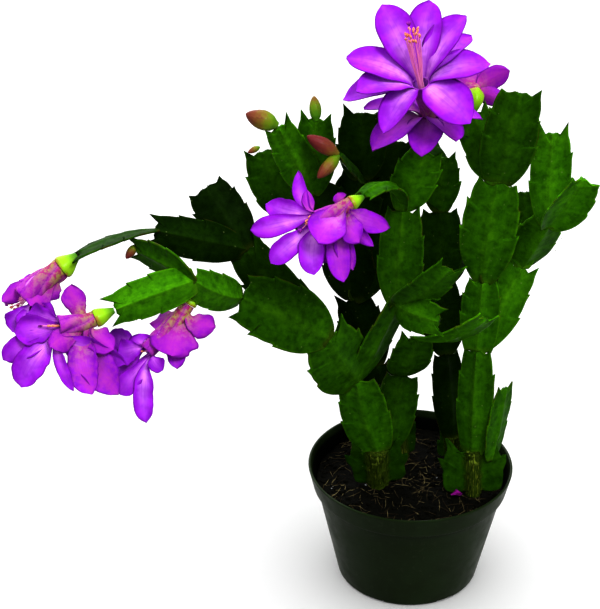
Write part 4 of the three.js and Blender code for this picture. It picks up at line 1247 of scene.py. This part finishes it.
def turned_tube(skin, path, outside, centres, radii, age):
    """A flower's tube: up its outside, where the feet of the outer tepals wind round it, over the
    lip and down its throat."""
    across = ASKEW
    drift = somewhere()
    rings = []
    paints = []
    for row, (place, centre, radius) in enumerate(zip([*outside, *THROAT], centres, radii)):
        along = path.heading(place)
        across = square(across, along)
        other = along.cross(across)
        ring, paint = [], []
        for angle in circle(TUBE_SIDES):
            way = around(across, other, angle)
            out, values = radius, (0.2, 0.4, 1, 0)
            if row < len(outside):
                winding = (TUBE_LOBES * (angle / (2 * math.pi) + TUBE_TURN * place)) % 1
                valley = abs(2 * winding - 1)
                dents = noise.noise(way * 1.3 + UPRIGHT * 5 * place + drift)
                out *= 1.04 - TUBE_FOLD * valley**3 + TUBE_FOLD * dents
                values = (valley, 0.1 + 0.55 * smooth(place, 0.2, 1), 0, age)
            ring.append(centre + way * out)
            paint.append(values)
        rings.append(ring)
        paints.append(paint)
    skin.loft(rings, paints)


def bud(name, spec, material):
    """A closed bud whose overlapping tepals wind round it."""
    at, step, radius, ripeness = spec
    tip = Vector(JOINTS[at]) + seen(*step)
    along = seen(*step).normalized()
    base = Vector(JOINTS[at]) - along * BUD_SINK
    across = UPRIGHT.cross(along).normalized()
    other = along.cross(across)
    length = (tip - base).length
    rings = []
    paints = []
    for t in shares(BUD_ROWS):
        ring, paint = [], []
        for angle in circle(BUD_SIDES):
            winding = (BUD_LOBES * (angle + 1.1 * t) / (2 * math.pi)) % 1
            lap = BUD_LAP * (winding - 0.5) * smooth(t, 0.15, 0.4)
            out = radius * follow(BUD_PROFILE, t) * (1 + lap)
            ring.append(base + along * t * length + around(across, other, angle) * out)
            paint.append((winding * smooth(t, 0.2, 0.4), t, ripeness, 0))
        rings.append(ring)
        paints.append(paint)
    skin = Skin()
    skin.loft(rings, paints)
    skin.piece(name + "_skin", material, "bud", name)


def wall_radius(z):
    """The wall's outer radius at a height below the collar."""
    return lerp(FOOT_RADIUS, WALL_TOP_RADIUS, z / COLLAR_FOOT)


def level_ring(radius, z, sides, way=1):
    """A level circle of points about the pot's axis."""
    return [Vector((radius * math.cos(a), radius * math.sin(a), z)) for a in circle(sides, way)]


def rounded_corner(before, corner, after, size):
    """Points of a small round at a corner of a profile."""
    a = corner + (before - corner).normalized() * size
    b = corner + (after - corner).normalized() * size
    curve = bent(a, corner, b)
    return [curve(t) for t in shares(4)]


def pot_profile():
    """The pot's half section, from the middle of its foot over its rim to the middle of its floor."""
    corners = [
        ((FOOT_RADIUS - FOOT_ROUND * 0.2, 0), FOOT_ROUND),
        ((WALL_TOP_RADIUS, WALL_TOP), 0.3),
        ((COLLAR_FOOT_RADIUS, COLLAR_FOOT - 0.3), 0.45),
        ((RIM_RADIUS, POT_HEIGHT), 0.6),
        ((RIM_RADIUS - WALL, POT_HEIGHT), 0.6),
        ((COLLAR_FOOT_RADIUS - WALL, COLLAR_FOOT), 0.4),
        ((WALL_TOP_RADIUS - WALL, WALL_TOP), 0.4),
        ((wall_radius(FLOOR) - WALL, FLOOR), 1.4),
    ]
    path = [Vector(p) for p in ((POT_MIDDLE, 0), *(c for c, _ in corners), (POT_MIDDLE, FLOOR))]
    profile = [path[0], Vector((POT_RING, 0)), Vector((DRAIN_CIRCLE, 0))]
    for i, (_, size) in enumerate(corners):
        profile += rounded_corner(*path[i : i + 3], size)
        if i in LONG_SIDES:
            start = profile[-1]
            profile += [start.lerp(path[i + 2], k / LONG_PARTS) for k in range(1, LONG_PARTS)]
    return [*profile, Vector((DRAIN_CIRCLE, FLOOR)), Vector((POT_RING, FLOOR)), path[-1]]


def pot_cuts():
    """What is cut out of the pot: a hole and a notch at each drain."""
    cutter = Skin()
    long, wide, high = NOTCH
    x0, x1, y1 = DRAIN_CIRCLE, DRAIN_CIRCLE + long, wide / 2
    outline = [(x1, -y1 - NOTCH_FLARE), (x1, y1 + NOTCH_FLARE), (x0, y1), (x0, -y1)]
    for i in range(DRAINS):
        turn = Matrix.Rotation(2 * math.pi * i / DRAINS, 3, "Z")
        hole = [p + RIGHT * DRAIN_CIRCLE for p in level_ring(DRAIN_RADIUS, 0, DRAIN_SIDES)]
        ends = (-FLOOR, 2 * FLOOR)
        cutter.plain([[turn @ (p + UPRIGHT * z) for p in hole] for z in ends], (0, 0, 0, 0))
        notch = [[turn @ Vector((x, y, z)) for x, y in outline] for z in (-high, high)]
        cutter.plain(notch, (0, 0, 0, 0))
    return add_mesh("pot_cuts", [point * MM for point in cutter.points], cutter.faces)


def pot(material):
    """The turned shell with rounded rim and edges, drain holes and notches in its foot."""
    profile = pot_profile()
    rim = max(range(len(profile)), key=lambda i: profile[i].y)
    rings = [level_ring(point.x, point.y, POT_SIDES, -1) for point in profile]
    skin = Skin()
    # the inner wall is painted 1, which the finish turns into painted shade
    skin.loft(rings, [[(1 if i > rim + 6 else 0, 0, 0, 0)] * POT_SIDES for i in range(len(profile))])
    shell = skin.piece("pot_shell", material, "pot", "pot")
    cuts = pot_cuts()
    cut = shell.modifiers.new("cuts", "BOOLEAN")
    cut.operation = "DIFFERENCE"
    cut.solver = "EXACT"
    cut.use_self = True
    cut.object = cuts
    bpy.context.view_layer.update()
    done = shell.evaluated_get(bpy.context.evaluated_depsgraph_get())
    shell.data = bpy.data.meshes.new_from_object(done)
    shell.modifiers.clear()
    bpy.data.objects.remove(cuts)
    for polygon in shell.data.polygons:
        polygon.use_smooth = True
    shell.data.set_sharp_from_angle(angle=math.radians(POT_SHARP))


def peat_height(x, y):
    """The peat's level, with clods and crumbs."""
    spot = Vector((x, y, 0))
    level = SOIL_LEVEL + SOIL_ROUGHNESS * noise.noise(spot / 9)
    level += 0.7 * noise.noise(spot / 3.1 + Vector((7, 3, 1)))
    level += 0.35 * abs(noise.noise(spot / 1.1))
    return level


def on_peat(radius, angle):
    """The point of the peat's top so far out and so far round."""
    x, y = radius * math.cos(angle), radius * math.sin(angle)
    return Vector((x, y, peat_height(x, y)))


def some_spot(reach):
    """A random spot of the peat's top, within reach of its middle."""
    return on_peat(reach * math.sqrt(chance.random()), chance.uniform(0, 2 * math.pi))


def peat(material):
    """The peat's body, and the crumbs, fibres and grit that lie on it."""
    bottom, top = FLOOR + SOIL_GAP, WALL_TOP - 0.5
    low, high = (wall_radius(z) - WALL - SOIL_GAP for z in (bottom, top))
    radii = [max(SOIL_MIDDLE, SOIL_RADIUS * i / SOIL_RINGS) for i in range(SOIL_RINGS, -1, -1)]
    rings = [
        level_ring(SOIL_MIDDLE, bottom, SOIL_SIDES),
        level_ring(low, bottom, SOIL_SIDES),
        level_ring(high, top, SOIL_SIDES),
        *([on_peat(radius, angle) for angle in circle(SOIL_SIDES)] for radius in radii),
    ]
    skin = Skin()
    skin.plain(rings, (0, 0, 0, 0))
    for (count, reach, least, most), kind in ((CRUMBS, 0), (GRIT, 1)):
        for _ in range(count):
            lump(skin, some_spot(reach), chance.uniform(least, most), (kind, 0, 0, 0))
    count, reach, least, most = FIBRES
    for _ in range(count):
        spot = some_spot(reach)
        fibre(skin, spot, chance.uniform(0, 2 * math.pi), chance.uniform(least, most))
    skin.piece("peat", material, "soil", "soil")


def lump(skin, centre, size, paint):
    """An irregular crumb."""
    drift = somewhere(40)
    rings = []
    for rise in shares(LUMP_ROWS):
        polar = math.pi * lerp(0.06, 0.94, rise)
        ring = []
        for way in level_ring(math.sin(polar), -math.cos(polar), LUMP_SIDES):
            out = size * (1 + LUMP_UNEVEN * noise.noise(way * 1.4 + drift))
            ring.append(centre + Vector((way.x, way.y, way.z * LUMP_FLAT)) * out)
        rings.append(ring)
    skin.plain(rings, paint)


def fibre(skin, middle, turn, length):
    """A dry strand that lies over the crumbs, a little bent."""
    bend = play(FIBRE_BEND)
    edge = SOIL_RADIUS - 0.5
    centres = []
    places = shares(8)
    for t in places:
        s = (t - 0.5) * length
        x = middle.x + s * math.cos(turn + bend * t)
        y = middle.y + s * math.sin(turn + bend * t)
        scale = min(1, edge / math.hypot(x, y))
        x, y = x * scale, y * scale
        rise = FIBRE_LIFT * (0.6 + noise.noise(Vector((x / 4, y / 4, 5))))
        centres.append(Vector((x, y, peat_height(x, y) + rise)))
    radii = [FIBRE_RADIUS * (1 - 0.7 * abs(2 * t - 1) ** 3) for t in places]
    dark = chance.random() ** 0.6
    skin.tube(centres, radii, FIBRE_SIDES, [(0.5, dark, 0, 0)] * len(places))


def fallen(material):
    """The dropped petal on the peat."""
    foot, tip, width, arch, wild = FALLEN
    foot, tip = Vector(foot), Vector(tip)
    skin = Skin()
    side = UPRIGHT.cross(tip - foot).normalized()
    petal(skin, bent(foot, foot.lerp(tip, 0.5) + UPRIGHT * arch, tip), side, width, 0, 0, wild)
    skin.piece("fallen_tepal_skin", material, "tepal", "fallen_tepal")


def studio_floor():
    """A wide pale floor that throws no light back onto the plant."""
    r = STAGE_REACH
    floor = add_mesh("floor", [(-r, -r, 0), (r, -r, 0), (r, r, 0), (-r, r, 0)], [(0, 1, 2, 3)])
    floor.data.materials.append(floor_finish())
    floor.visible_diffuse = False


def sky_light():
    """White light from all around that grows towards the zenith."""
    world = bpy.data.worlds.new("studio")
    scene.world = world
    world.use_nodes = True
    nodes, links = world.node_tree.nodes, world.node_tree.links
    nodes["Background"].inputs["Color"].default_value = (1, 1, 1, 1)
    way = nodes.new("ShaderNodeTexCoord")
    parts = nodes.new("ShaderNodeSeparateXYZ")
    sky = nodes.new("ShaderNodeMapRange")
    for socket, value in zip(("From Min", "From Max", "To Min", "To Max"), SKY):
        sky.inputs[socket].default_value = value
    links.new(way.outputs["Generated"], parts.inputs[0])
    links.new(parts.outputs["Z"], sky.inputs["Value"])
    links.new(sky.outputs[0], nodes["Background"].inputs["Strength"])


def suns(lit):
    """Soft suns that light only a collection's objects."""
    for name, (place, power, spread) in SUNS.items():
        light = bpy.data.lights.new(name, "SUN")
        light.energy = power
        light.angle = math.radians(spread)
        lamp = add_object(name, light)
        lamp.light_linking.receiver_collection = lit
        lamp.location = Vector(place) * MM
        lamp.rotation_euler = (-Vector(place)).to_track_quat("-Z", "Y").to_euler()


def viewpoint():
    """The camera, in front of the plant and above it."""
    lens = bpy.data.cameras.new("camera")
    lens.lens = LENS
    camera = add_object("camera", lens)
    camera.location = (AIM + NEAR * DISTANCE) * MM
    camera.rotation_euler = (-NEAR).to_track_quat("-Z", "Y").to_euler()
    scene.camera = camera


def studio():
    """The floor, the light on the finished pieces, and the camera."""
    lit = bpy.data.collections.new("lit")
    for piece in scene.collection.objects:
        lit.objects.link(piece)
    studio_floor()
    sky_light()
    suns(lit)
    viewpoint()
    scene.view_settings.view_transform = "Standard"
    scene.view_settings.gamma = GAMMA


leaf = leaf_finish()
for name, spec in STEMS.items():
    stem(name, spec, leaf)
finishes = {"petal": petal_finish(), "ovary": ovary_finish(), "stamen": stamen_finish()}
for name, spec in BLOOMS.items():
    bloom(name, spec, finishes)
bud_skin = bud_finish()
for name, spec in BUDS.items():
    bud(name, spec, bud_skin)
fallen(withered_finish())
pot(pot_finish())
peat(peat_finish())
studio()
